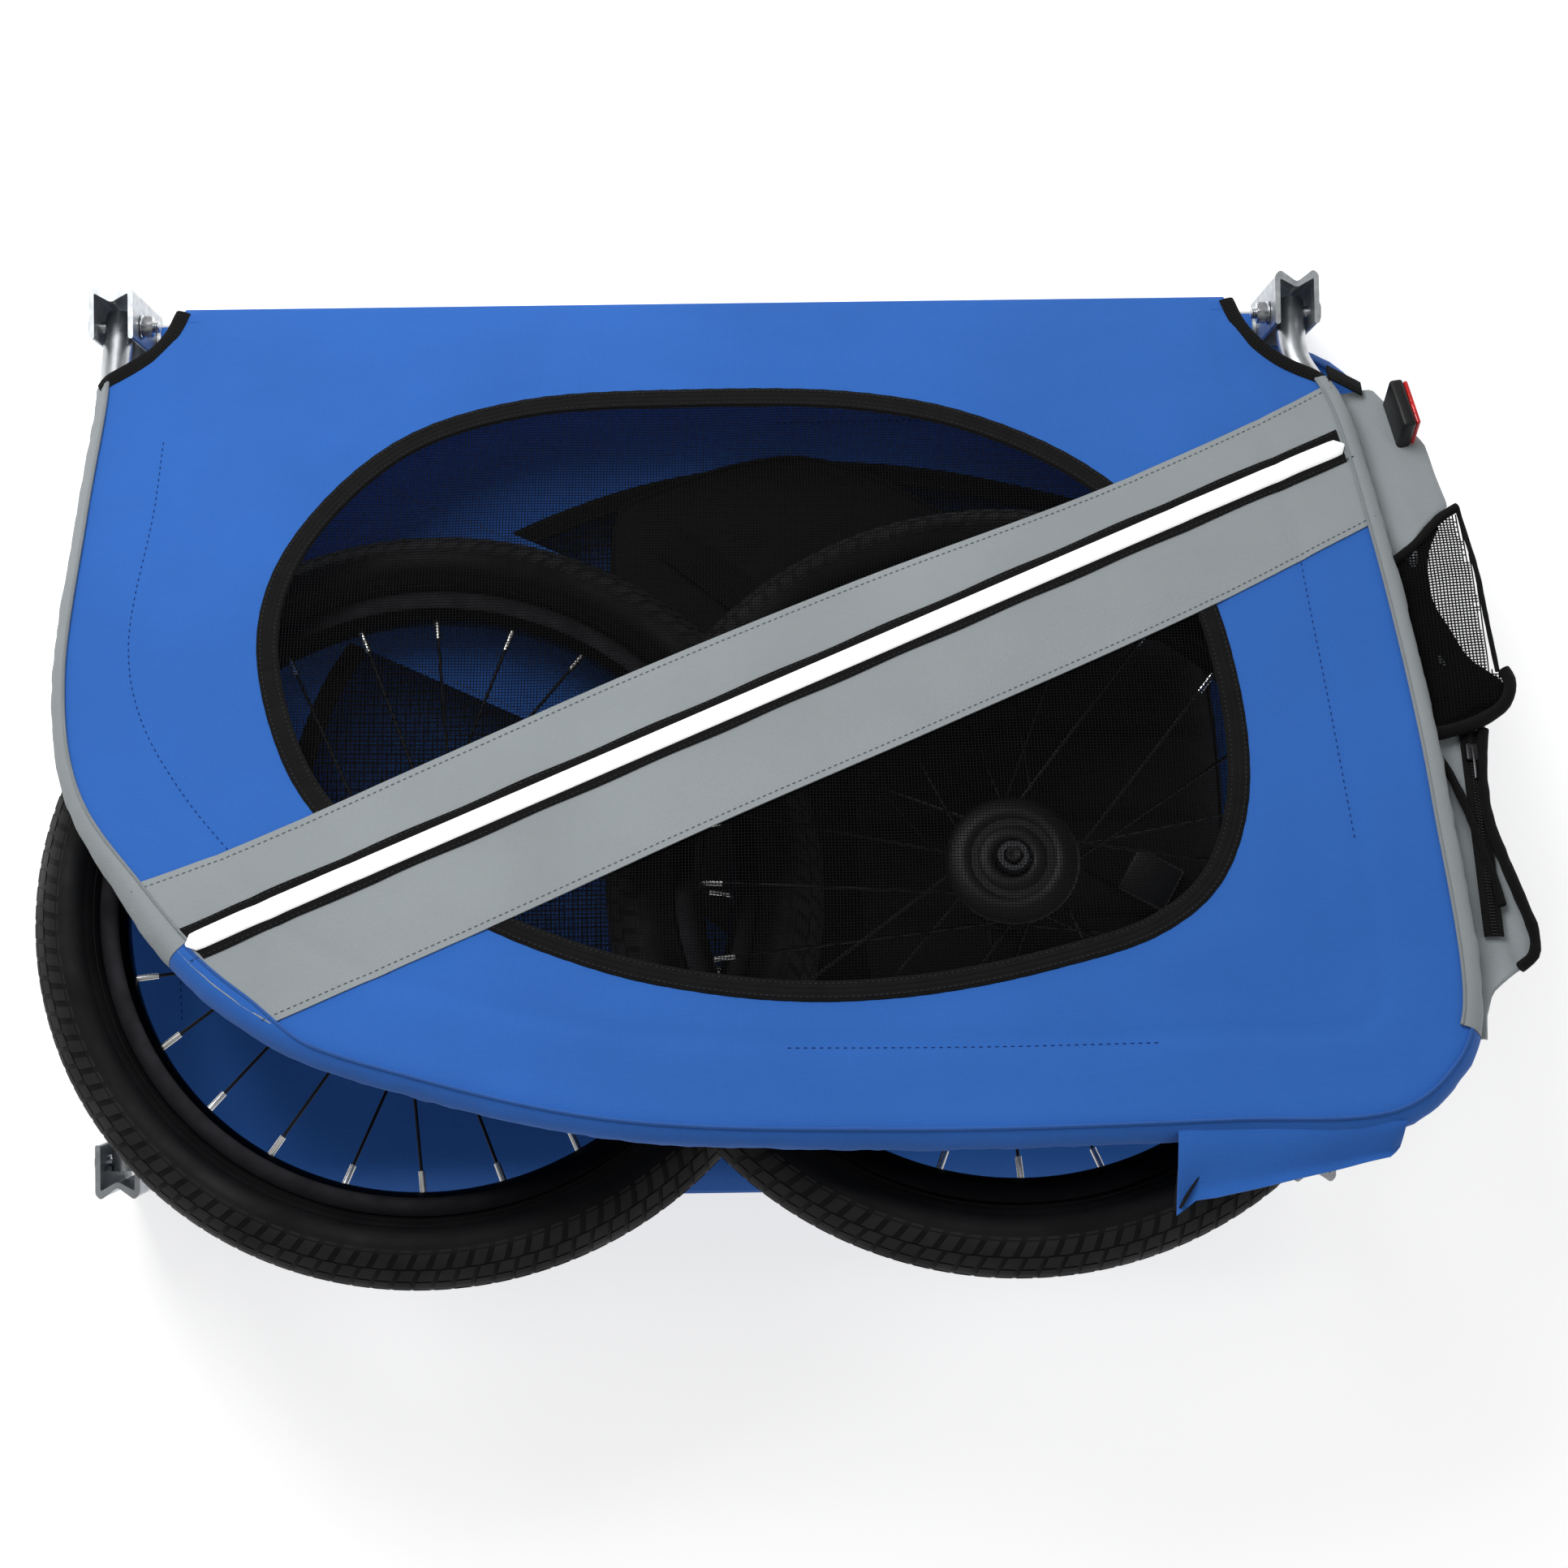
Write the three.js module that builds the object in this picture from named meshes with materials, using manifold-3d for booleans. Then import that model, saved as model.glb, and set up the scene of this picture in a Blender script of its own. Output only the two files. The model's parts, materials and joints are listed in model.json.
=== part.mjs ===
// A child bicycle trailer, folded for storage: both side frames lie over the base, one above the other,
// with the two wheels taken off and stacked between them. Millimetres, +X rear, +Y right side, +Z up.
import * as THREE from 'three';
import { mergeVertices } from 'three/addons/utils/BufferGeometryUtils.js';
import Module from 'manifold-3d';

const wasm = await Module();
wasm.setup();

// ---- driving dimensions -------------------------------------------------------------------------
const GAP = 0.3; // between pieces that touch
const BODY_WIDTH = 550; // between the two fold axes
const BRACKET_SPAN = 776; // between front and rear bracket centres
const PIVOT_Z = 78; // fold axis above the ground

const TUBE_R = 9.5; // side hoops
const TUBE_WALL = 1.5;
const RAIL_R = 12.5;
const CROSSBAR_R = 11;
const BEAM = 25;
const BEAM_WALL = 2;
const AXLE_X = 30; // where the wheel axle goes in when the trailer is in use

const BRACKET_WIDTH = 28;
const BRACKET_WALL = 2.5;
const BRACKET_OUT = 22; // pivot to outer face
const BRACKET_IN = 12; // pivot to open side
const BRACKET_ABOVE = 30; // pivot to mouth
const NOTCH_DEPTH = 7.5;
const NOTCH_WALL = BRACKET_WALL * 1.12; // wall of the folded notch, measured towards the pivot
const BOLT_R = 4;
const BOLT_FLATS = 13;
const BOLT_HEAD = 5.3;
const NUT_HEIGHT = 6.5;
const WASHER_R = 8;
const WASHER_T = 1.6;

const RIGHT_HEIGHT = 573; // fold axis to roof tube
const LEFT_HEIGHT = 528;
const CLOTH = 3; // side panel slab
const NET = 2;
const BINDING_WIDTH = 12;
const BINDING_T = 1.5;
const BAND_T = 1;
const TAPE_WIDTH = 24;
const STRIP_WIDTH = 12.5;
const FLOOR_T = 2.5;
const SLING_T = 5;
const PAD_SIZE = [243, 262];
const PAD_CORNER = [92, 78];
const STRAP_WIDTH = 25;
const STRAP_T = 2;

const TYRE_R = 250; // over the tread
const TYRE_SECTION = 23.5; // half the tyre's width
const TYRE_WALL = 3;
const RIM_DEPTH = 13; // from the tyre's inner edge to the spoke bed
const RIM_HALF = 12.5;
const HUB_HALF = 33;
const FLANGE_R = 25;
const FLANGE_IN = 8; // flange from the hub's end
const FLANGE_T = 3;
const SPOKES = 24;
const SPOKE_R = 1;
const NIPPLE_R = 2.2;
const NIPPLE_LENGTH = 13;
const BEARING_R = 12.7;
const BEARING_WIDTH = 9;
const HUB_WALL = 4;
const AXLE_R = 8;
const AXLE_STUB = 45; // beyond the hub's inner end
const CAP_R = 41;
const CAP_T = 8;
const HEAD_R = 11;
const HEAD_T = 12;
const BUTTON_R = 5;
const BUTTON_OUT = 3.5;
const STACK_GAP = 2; // between the two stacked tyres
const LATHE_SIDES = 28;

const FRONT_HUB_IN = 210; // hub centres from the pivots and from the middle, seen from above
const REAR_HUB_IN = 203;
const FRONT_HUB_ACROSS = 106;
const REAR_HUB_ACROSS = 98;

// The side profile and its trims are drawn at this span and height, and graded to the real ones.
const DRAWN_SPAN = 776;
const DRAWN_HEIGHT = 573;

// ---- derived --------------------------------------------------------------------------------------
const HINGE_Y = BODY_WIDTH / 2;
const BRACKET_X = BRACKET_SPAN / 2;
const FRONT_WHEEL = [-BRACKET_X + FRONT_HUB_IN, -FRONT_HUB_ACROSS];
const REAR_WHEEL = [BRACKET_X - REAR_HUB_IN, -REAR_HUB_ACROSS];
const RIM_BED_R = TYRE_R - 2 * TYRE_SECTION - RIM_DEPTH;
const FLANGE_Z = HUB_HALF - FLANGE_IN;
const RAIL_Z = RAIL_R;
const FLOOR_Z = Math.max(2 * RAIL_R, BEAM) + GAP;
const SLAB_Z = TUBE_R + GAP; // underside of a side panel above its tubes
const SLAB_TOP = SLAB_Z + CLOTH;
const TRIM_TOP = SLAB_TOP + GAP + BINDING_T + GAP + BAND_T; // top of the window binding and the band over it
const SECTION_R = TYRE_R - TYRE_SECTION; // centre circle of the tyre
const LEFT_SLOPE = Math.asin((PIVOT_Z - FLOOR_Z - FLOOR_T - GAP - TUBE_R) / LEFT_HEIGHT);

// A wheel lies on its axle's inner end and on the far edge of its tyre.
const stubDrop = HUB_HALF + AXLE_STUB;
const leverArm = SECTION_R - AXLE_R;
const reach = Math.hypot(leverArm, stubDrop);
const WHEEL_TILT = Math.atan2(stubDrop, leverArm) - Math.asin(TYRE_SECTION / reach);
const WHEEL_SLOPE = LEFT_SLOPE + WHEEL_TILT;
const WHEEL_LIFT = SECTION_R * Math.sin(WHEEL_TILT) + TYRE_SECTION; // hub centre above the left panel
const STACK = 2 * TYRE_SECTION + STACK_GAP;

const leftTop = (y, n) => PIVOT_Z - (y + HINGE_Y) * Math.tan(LEFT_SLOPE) + n / Math.cos(LEFT_SLOPE);
const frontZ = leftTop(FRONT_WHEEL[1], TRIM_TOP + GAP + WHEEL_LIFT);
const planeRise = (REAR_WHEEL[1] - FRONT_WHEEL[1]) * Math.tan(WHEEL_SLOPE);
const rearZ = frontZ - planeRise + STACK / Math.cos(WHEEL_SLOPE);
const stubN = (wheelY, wheelZ) => { // height of a stub's end in the left side's own frame
  const y = wheelY - stubDrop * Math.sin(WHEEL_SLOPE) + HINGE_Y;
  const z = wheelZ - stubDrop * Math.cos(WHEEL_SLOPE) - PIVOT_Z;
  return y * Math.sin(LEFT_SLOPE) + z * Math.cos(LEFT_SLOPE) - AXLE_R * Math.sin(WHEEL_TILT);
};
const PAD_Z = TRIM_TOP + SLING_T + 2 * GAP;
const PAD_T = stubN(REAR_WHEEL[1], rearZ) - GAP - PAD_Z;

// The right side folds down until its panel lies over the upper wheel.
const restSlope = () => {
  const c = Math.cos(WHEEL_SLOPE);
  const s = Math.sin(WHEEL_SLOPE);
  const steepest = (r, up, floor) => {
    const dy = HINGE_Y - (REAR_WHEEL[1] + up * s + r * c);
    const dz = rearZ + up * c - r * s - PIVOT_Z;
    return Math.atan2(dz, dy) - Math.asin((floor - GAP) / Math.hypot(dy, dz));
  };
  const buttonTop = HUB_HALF + HEAD_T + BUTTON_OUT;
  return Math.max(
    steepest(CAP_R, HUB_HALF + CAP_T, SLAB_Z),
    steepest(BUTTON_R, buttonTop, SLAB_Z),
    steepest(HEAD_R, HUB_HALF + HEAD_T, SLAB_Z),
    steepest(-SECTION_R * 0.8, TYRE_SECTION, -TUBE_R),
    steepest(0, TYRE_SECTION, -TUBE_R),
    steepest(SECTION_R, TYRE_SECTION, SLAB_Z),
  );
};
const RIGHT_SLOPE = restSlope();

// ---- solids -----------------------------------------------------------------------------------------
const toSolid = (geometry) => {
  const plain = geometry.clone();
  plain.deleteAttribute('normal');
  plain.deleteAttribute('uv');
  const merged = mergeVertices(plain, 1e-4);
  return new wasm.Manifold(new wasm.Mesh({
    numProp: 3,
    vertProperties: new Float32Array(merged.attributes.position.array),
    triVerts: new Uint32Array(merged.index.array),
  }));
};
const toGeometry = (solid) => {
  const mesh = solid.getMesh();
  const geometry = new THREE.BufferGeometry();
  geometry.setAttribute('position', new THREE.BufferAttribute(new Float32Array(mesh.vertProperties), 3));
  geometry.setIndex(new THREE.BufferAttribute(new Uint32Array(mesh.triVerts), 1));
  geometry.computeVertexNormals();
  return geometry;
};
const join = (...pieces) => toGeometry(pieces.map(toSolid).reduce((a, b) => a.add(b)));
const cut = (piece, ...tools) => toGeometry(tools.map(toSolid).reduce((a, b) => a.subtract(b), toSolid(piece)));

const box = (x, y, z, at = [0, 0, 0]) => new THREE.BoxGeometry(x, y, z).translate(...at);
const turn = { x: (g) => g.rotateZ(-Math.PI / 2), y: (g) => g, z: (g) => g.rotateX(Math.PI / 2) };
const rod = (radius, from, to, axis = 'z', at = [0, 0, 0], sides = 16) => {
  const g = turn[axis](new THREE.CylinderGeometry(radius, radius, to - from, sides));
  const middle = new THREE.Vector3(axis === 'x', axis === 'y', axis === 'z').multiplyScalar((from + to) / 2);
  return g.translate(middle.x + at[0], middle.y + at[1], middle.z + at[2]);
};
const tube = (outer, inner, from, to, axis, at, sides = 16) =>
  cut(rod(outer, from, to, axis, at, sides), rod(inner, from - 1, to + 1, axis, at, sides));
const prism = (points, z, height, holes = []) => {
  const shape = new THREE.Shape(points.map(([x, y]) => new THREE.Vector2(x, y)));
  shape.holes = holes.map((hole) => new THREE.Path(hole.map(([x, y]) => new THREE.Vector2(x, y))));
  return new THREE.ExtrudeGeometry(shape, { depth: height, bevelEnabled: false }).translate(0, 0, z);
};
const lathe = (profile, sides = LATHE_SIDES) => {
  const section = profile.map(([r, z]) => new THREE.Vector2(r, z));
  if (THREE.ShapeUtils.isClockWise(section)) section.reverse();
  return new THREE.LatheGeometry([...section, section[0]], sides).rotateX(Math.PI / 2);
};
const spline = (points, steps, closed = false) => {
  const curve = new THREE.CatmullRomCurve3(points.map(([x, y]) => new THREE.Vector3(x, y, 0)), closed, 'centripetal');
  const all = curve.getPoints(steps).map((p) => [p.x, p.y]);
  return closed ? all.slice(0, -1) : all;
};
const offset = (points, distance, closed = false) => points.map((p, i) => {
  const last = points.length - 1;
  const a = points[closed ? (i + last) % points.length : Math.max(i - 1, 0)];
  const b = points[closed ? (i + 1) % points.length : Math.min(i + 1, last)];
  const length = Math.hypot(b[0] - a[0], b[1] - a[1]);
  return [p[0] + distance * (b[1] - a[1]) / length, p[1] - distance * (b[0] - a[0]) / length];
});

// ---- the scene graph ----------------------------------------------------------------------------------
const trailer = new THREE.Group();
const add = (parent, name, geometry, color, roughness = 0.8, metalness = 0) => {
  const mesh = new THREE.Mesh(geometry, new THREE.MeshStandardMaterial({ color, roughness, metalness }));
  mesh.name = name;
  parent.add(mesh);
  return mesh;
};
const STEEL = [0xa8acae, 0.35, 0.9];
const BLUE = [0x2f62b4, 0.85];
const GREY = [0x93a0a3, 0.85];
const BLACK = [0x17181a, 0.85];
const RUBBER = [0x1b1b1c, 0.75];
const WHITE = [0xf2f4f4, 0.4];
const PLASTIC = [0x141416, 0.5];

// ---- base frame -----------------------------------------------------------------------------------------
const innerWall = BRACKET_X - BRACKET_WIDTH / 2;
for (const [side, s] of [['left', -1], ['right', 1]]) {
  const railY = s * HINGE_Y;
  const length = innerWall - GAP;
  const rail = tube(RAIL_R, RAIL_R - TUBE_WALL, -length, length, 'x', [0, railY, RAIL_Z]);
  const sleeveR = BEAM / 2 - BEAM_WALL - GAP;
  const drill = rod(sleeveR + GAP, -2 * RAIL_R, 2 * RAIL_R, 'y', [AXLE_X, railY, RAIL_Z]);
  add(trailer, `${side}_rail`, cut(rail, drill), ...STEEL);
  const sleeve = tube(sleeveR, AXLE_R + 0.2, HINGE_Y - 75, HINGE_Y + RAIL_R + 2, 'y', [0, 0, 0]);
  const placed = add(trailer, `${side}_axle_sleeve`, sleeve, ...STEEL);
  placed.rotation.z = s < 0 ? Math.PI : 0;
  placed.position.set(AXLE_X, 0, RAIL_Z);
}
for (const [end, s] of [['front', -1], ['rear', 1]]) {
  const half = HINGE_Y + BRACKET_OUT - NOTCH_DEPTH - BRACKET_WALL - 2 * GAP;
  const bar = tube(CROSSBAR_R, CROSSBAR_R - TUBE_WALL, -half, half, 'y', [s * BRACKET_X, 0, RAIL_Z]);
  add(trailer, `${end}_crossbar`, bar, ...STEEL);
}
const beamLength = BODY_WIDTH - 2 * RAIL_R - 2 * GAP;
const beamBore = BEAM - 2 * BEAM_WALL;
add(trailer, 'axle_beam', cut(
  box(BEAM, beamLength, BEAM, [AXLE_X, 0, RAIL_Z]),
  box(beamBore, beamLength + 2, beamBore, [AXLE_X, 0, RAIL_Z]),
), ...STEEL);
const floorX = BRACKET_X - CROSSBAR_R - GAP;
const floorY = HINGE_Y - RAIL_R - GAP;
add(trailer, 'floor_sheet', box(2 * floorX, 2 * floorY, FLOOR_T, [0, 0, FLOOR_Z + FLOOR_T / 2]), ...BLACK);

// ---- corner brackets and pivot bolts ----------------------------------------------------------------------
const bracketProfile = () => {
  const w = BRACKET_WIDTH / 2;
  const t = BRACKET_WALL;
  return [
    [-w, -BRACKET_IN], [-w, BRACKET_OUT - 2], [-w + 2, BRACKET_OUT], [-w + 4, BRACKET_OUT],
    [0, BRACKET_OUT - NOTCH_DEPTH], [w - 4, BRACKET_OUT], [w - 2, BRACKET_OUT], [w, BRACKET_OUT - 2],
    [w, -BRACKET_IN], [w - t, -BRACKET_IN], [w - t, BRACKET_OUT - NOTCH_WALL - 1],
    [0, BRACKET_OUT - NOTCH_DEPTH - NOTCH_WALL], [-w + t, BRACKET_OUT - NOTCH_WALL - 1], [-w + t, -BRACKET_IN],
  ].reverse();
};
const bracketSolid = () => cut(
  prism(bracketProfile(), 0, PIVOT_Z + BRACKET_ABOVE),
  rod(BOLT_R + GAP, -BRACKET_WIDTH, BRACKET_WIDTH, 'x', [0, 0, PIVOT_Z], 12),
);
const boltSolid = () => { // head on the -X side, washer and nut on the +X side
  const w = BRACKET_WIDTH / 2 + GAP;
  const hexR = BOLT_FLATS / Math.sqrt(3);
  return join(
    rod(BOLT_R, -w - 1, w + WASHER_T + NUT_HEIGHT + 4, 'x', [0, 0, PIVOT_Z], 10),
    rod(hexR, -w - BOLT_HEAD, -w, 'x', [0, 0, PIVOT_Z], 6),
    rod(WASHER_R, w, w + WASHER_T, 'x', [0, 0, PIVOT_Z], 14),
    rod(hexR, w + WASHER_T - 0.1, w + WASHER_T + NUT_HEIGHT, 'x', [0, 0, PIVOT_Z], 6),
  );
};
for (const [side, sy] of [['left', -1], ['right', 1]]) {
  for (const [end, sx] of [['front', -1], ['rear', 1]]) {
    const corner = new THREE.Group();
    corner.position.set(sx * BRACKET_X, sy * HINGE_Y, 0);
    corner.rotation.z = sy < 0 ? Math.PI : 0;
    const inward = sx * sy < 0 ? 1 : -1; // the nut faces the middle of the trailer
    add(corner, `${side}_${end}_bracket`, bracketSolid(), ...STEEL);
    const bolt = add(corner, `${side}_${end}_pivot_bolt`, boltSolid(), 0xc4c8ca, 0.3, 0.9);
    bolt.rotation.z = inward > 0 ? 0 : Math.PI;
    trailer.add(corner);
  }
}

// ---- side frames ----------------------------------------------------------------------------------------
// Every side profile is drawn as x and v, v being the distance from the fold axis. fold = -1 draws the right
// side, which lies towards -Y of its axis, and +1 the left.
const HOOP_SIDES = 8;
const hoopFlat = TUBE_R * Math.cos(Math.PI / HOOP_SIDES);
const HOOP_END = Math.sqrt((BRACKET_OUT - NOTCH_DEPTH - NOTCH_WALL - GAP) ** 2 - hoopFlat ** 2); // turns clear of the notch
const grade = (points, height = RIGHT_HEIGHT) =>
  points.map(([x, v]) => [x * BRACKET_SPAN / DRAWN_SPAN, v * height / DRAWN_HEIGHT]);
const beside = (points) => points.map(([x, v]) => // trims that stay at their distance from the tube
  [x + Math.sign(x) * (BRACKET_X - DRAWN_SPAN / 2), v * RIGHT_HEIGHT / DRAWN_HEIGHT]);
const sideProfile = (height) => { // hoop centre line from the front pivot over the roof to the rear pivot
  const f = height / DRAWN_HEIGHT;
  const X = BRACKET_X;
  return [
    [-X, -HOOP_END], [-X, 0], [-X, 34], [-X + 1, 60 * f], [-X - 5, 154 * f], [-X - 9, 275 * f], [-X + 4, 345 * f],
    [-X + 40, 408 * f], [-X + 79, 461 * f], [-X + 142, 509 * f], [-X + 212, 535 * f], [-0.15 * X, 564 * f],
    [0.273 * X, height], [X - 88, 570 * f], [X + 12, 565 * f], [X + 44, 540 * f], [X + 58, 510 * f],
    [X + 55, 372 * f], [X + 49, 290 * f], [X + 35, 173 * f], [X + 18, 78 * f], [X, 36], [X, 0], [X, -HOOP_END],
  ];
};
const WINDOW = [
  [-279, 266], [-275, 203], [-244, 145], [-193, 97], [-121, 71], [-10, 64], [100, 68], [173, 86], [247, 128],
  [308, 200], [329, 287], [328, 370], [307, 424], [271, 455], [206, 477], [133, 492], [61, 496], [-12, 488],
  [-75, 471], [-150, 436], [-242, 364],
];
const BAND = [[-348, 414], [-49, 277], [405, 66], [417, 176], [13, 376], [-260, 502]];
const STRIP = [[-314, 457], [412, 113]];

const buildSide = (name, height, fold) => {
  const group = new THREE.Group();
  const draw = (points) => points.map(([x, v]) => [x, fold * v]);
  const wound = (points) => (THREE.ShapeUtils.isClockWise(points.map(([x, y]) => new THREE.Vector2(x, y)))
    ? [...points].reverse() : points);

  const centre = sideProfile(height);
  const path = new THREE.CatmullRomCurve3(
    draw(centre).map(([x, y]) => new THREE.Vector3(x, y, 0)), false, 'centripetal');
  const ring = (radius, sides) => Array.from({ length: sides }, (_, i) => {
    const a = ((i + 0.5) / sides) * 2 * Math.PI;
    return new THREE.Vector2(radius * Math.cos(a), radius * Math.sin(a));
  });
  const section = new THREE.Shape(ring(TUBE_R, HOOP_SIDES));
  section.holes = [new THREE.Path(ring(TUBE_R - TUBE_WALL, 6).reverse())];
  const hoop = new THREE.ExtrudeGeometry(section, { steps: 36, extrudePath: path });
  const drill = (s) => rod(BOLT_R + GAP, -2 * TUBE_R, 2 * TUBE_R, 'x', [s * BRACKET_X, 0, 0], 12);
  add(group, `${name}_hoop`, cut(hoop, drill(-1), drill(1)), ...STEEL);

  const edge = offset(spline(centre.slice(2, -2), 60), -TUBE_R);
  const scoopFront = spline(beside([[-394, 50], [-370, 33], [-353, 15], [-347, -1]]), 6);
  const scoopRear = spline(beside([[347, -1], [361, 27], [381, 46], [406, 58]]), 6);
  const outline = wound(draw([...scoopRear, ...edge.slice(1, -1).reverse(), ...scoopFront]));
  const oval = wound(spline(draw(grade(WINDOW, height)), 44, true));
  const inset = (d) => offset(oval, -d, true);
  const hole = inset(BINDING_WIDTH);
  add(group, `${name}_side_panel`, prism(outline, SLAB_Z, CLOTH, [[...hole].reverse()]), ...BLUE);
  const netZ = SLAB_Z + (CLOTH - NET) / 2;
  add(group, `${name}_window_net`, prism(inset(BINDING_WIDTH + GAP), netZ, NET), ...BLACK);
  const bindingZ = SLAB_TOP + GAP;
  const bindingInner = inset(BINDING_WIDTH + 1);
  add(group, `${name}_window_binding`, prism(oval, bindingZ, BINDING_T, [[...bindingInner].reverse()]), ...BLACK);
  add(group, `${name}_grey_band`, prism(wound(draw(grade(BAND, height))), TRIM_TOP - BAND_T, BAND_T), ...GREY);
  group.position.set(0, -fold * HINGE_Y, PIVOT_Z);
  return { group, draw, wound };
};

const left = buildSide('left', LEFT_HEIGHT, 1);
left.group.rotation.x = -LEFT_SLOPE;
trailer.add(left.group);

const right = buildSide('right', RIGHT_HEIGHT, -1);
right.group.rotation.x = -RIGHT_SLOPE;
trailer.add(right.group);

// ---- seat, folded flat on the left side ------------------------------------------------------------------
const SLING = [[-58, 424], [-44, 433], [69, 458], [222, 370], [280, 294], [340, 200], [330, 70], [120, 90], [-30, 180]];
add(left.group, 'seat_sling', prism(left.wound(SLING), TRIM_TOP + GAP, SLING_T), ...BLACK);
const pad = box(PAD_SIZE[0], PAD_SIZE[1], PAD_T, [
  PAD_CORNER[0] + PAD_SIZE[0] / 2, PAD_CORNER[1] + PAD_SIZE[1] / 2, PAD_Z + PAD_T / 2]);
add(left.group, 'seat_pad', pad, ...BLACK);
const strap = (name, from, to, z) => {
  const length = Math.hypot(to[0] - from[0], to[1] - from[1]);
  const mesh = add(left.group, name, box(length, STRAP_WIDTH, STRAP_T), ...BLACK);
  mesh.position.set((from[0] + to[0]) / 2, (from[1] + to[1]) / 2, z + STRAP_T / 2);
  mesh.rotation.z = Math.atan2(to[1] - from[1], to[0] - from[0]);
  return mesh;
};
const slingTop = TRIM_TOP + GAP + SLING_T + GAP;
strap('shoulder_strap', [-26, 404], [48, 346], slingTop);
const padTop = PAD_Z + PAD_T + GAP;
const lapStrap = strap('lap_strap', [245, 190], [318, 150], padTop);
const buckle = add(left.group, 'harness_buckle', box(34, 30, 8), ...PLASTIC);
buckle.position.copy(lapStrap.position).setZ(padTop + STRAP_T + GAP + 4);
buckle.rotation.z = lapStrap.rotation.z;

// ---- the right side's trims ---------------------------------------------------------------------------------
const ribbon = (from, to, width) => {
  const length = Math.hypot(to[0] - from[0], to[1] - from[1]);
  const side = [-(to[1] - from[1]) * width / 2 / length, (to[0] - from[0]) * width / 2 / length];
  return [
    [from[0] + side[0], from[1] + side[1]], [from[0] - side[0], from[1] - side[1]],
    [to[0] - side[0], to[1] - side[1]], [to[0] + side[0], to[1] + side[1]],
  ];
};
const rightPrism = (points, z, height) => prism(right.wound(right.draw(points)), z, height);
const strip = grade(STRIP);
const tapeZ = TRIM_TOP + GAP;
add(right.group, 'right_black_tape', rightPrism(ribbon(...strip, TAPE_WIDTH), tapeZ, BAND_T), ...BLACK);
const stripZ = tapeZ + BAND_T + GAP;
add(right.group, 'right_reflective_strip', rightPrism(ribbon(...strip, STRIP_WIDTH), stripZ, BAND_T), ...WHITE);

const REAR_PANEL = [
  [400, 60], [427, 60], [466, 102], [474, 150], [486, 200], [492, 278], [480, 340], [484, 400], [490, 440],
  [484, 469], [458, 495], [440, 500], [430, 300], [412, 150],
];
const gussetZ = -TUBE_R - GAP - CLOTH;
const rearTop = gussetZ + CLOTH + GAP;
add(right.group, 'rear_panel', rightPrism(beside(REAR_PANEL), gussetZ, CLOTH), ...GREY);
const POCKET_T = 8;
const pocketOuter = [[456, 190], [480, 152], [498, 262], [496, 295], [458, 306]];
const pocketInner = [[459, 120], [478, 120], [495, 262], [493, 292], [461, 303]];
add(right.group, 'rear_pocket', cut(
  rightPrism(beside(pocketOuter), rearTop, POCKET_T),
  rightPrism(beside(pocketInner), rearTop + 2, POCKET_T - 4),
), ...BLACK);
const ZIP_LINE = beside([[473, 312], [473, 452]]);
const ZIP_WIDTH = 9;
const ZIP_T = 1.5;
const SLIDER = [8, 12, 4];
const SLIDER_IN = 16; // from the closed end
add(right.group, 'zipper_tape', rightPrism(ribbon(...ZIP_LINE, ZIP_WIDTH), rearTop, ZIP_T), ...BLACK);
add(right.group, 'zip_slider', box(...SLIDER, [
  ZIP_LINE[0][0], -(ZIP_LINE[0][1] + SLIDER_IN), rearTop + ZIP_T + GAP + SLIDER[2] / 2]), ...STEEL);

const reflector = new THREE.Group();
const [reflectorX, reflectorV] = beside([[450, 88]])[0];
reflector.position.set(reflectorX, -reflectorV, rearTop);
reflector.rotation.z = THREE.MathUtils.degToRad(10);
const HOUSING = [9, 36, 34];
const LENS_T = 3;
add(reflector, 'reflector_housing', box(...HOUSING, [0, 0, HOUSING[2] / 2]), ...PLASTIC);
add(reflector, 'reflector_lens', box(LENS_T, HOUSING[1] - 3, HOUSING[2] - 3,
  [HOUSING[0] / 2 + GAP + LENS_T / 2, 0, HOUSING[2] / 2]), 0xc01818, 0.2);
right.group.add(reflector);

const roofV = RIGHT_HEIGHT + TUBE_R + GAP;
const FLAP = beside([[300, 0], [404, 0], [400, 9], [296, 32], [272, 40], [284, 17]]).map(([x, v]) => [x, v + roofV]);
add(right.group, 'roof_flap', rightPrism(FLAP, -CLOTH, CLOTH), ...BLUE);
const SPREADER_R = 6.5;
const SPREADER = grade([[-195, 505], [345, 505]]);
add(right.group, 'spreader_bar', rod(SPREADER_R, SPREADER[0][0], SPREADER[1][0], 'x',
  [0, -SPREADER[0][1], SLAB_Z - GAP - SPREADER_R], 12), ...STEEL);

// ---- wheels -------------------------------------------------------------------------------------------------
const mirrored = (half) => [...half, ...half.map(([r, z]) => [r, -z]).reverse()];
const tyreSection = (wall, bead) => { // half a section, bead to crown, inset by a wall
  const R = SECTION_R;
  const w = TYRE_SECTION - wall;
  return [
    [bead, 9.4 - wall], [R - 18.4, 9.6 - wall], [R - 17 + wall * 0.4, 12 - wall * 0.8],
    [R, w], [R + w * 0.62, w * 0.76], [R + w, w * 0.2],
  ];
};
const tyreSolid = () => {
  const bead = RIM_BED_R + 12;
  const outer = tyreSection(0, bead);
  const inner = tyreSection(TYRE_WALL, bead).filter((_, i) => i % 2 === 0);
  return lathe([
    ...outer, ...outer.map(([r, z]) => [r, -z]).reverse(),
    ...inner.map(([r, z]) => [r, -z]), ...[...inner].reverse(),
  ]);
};
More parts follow.
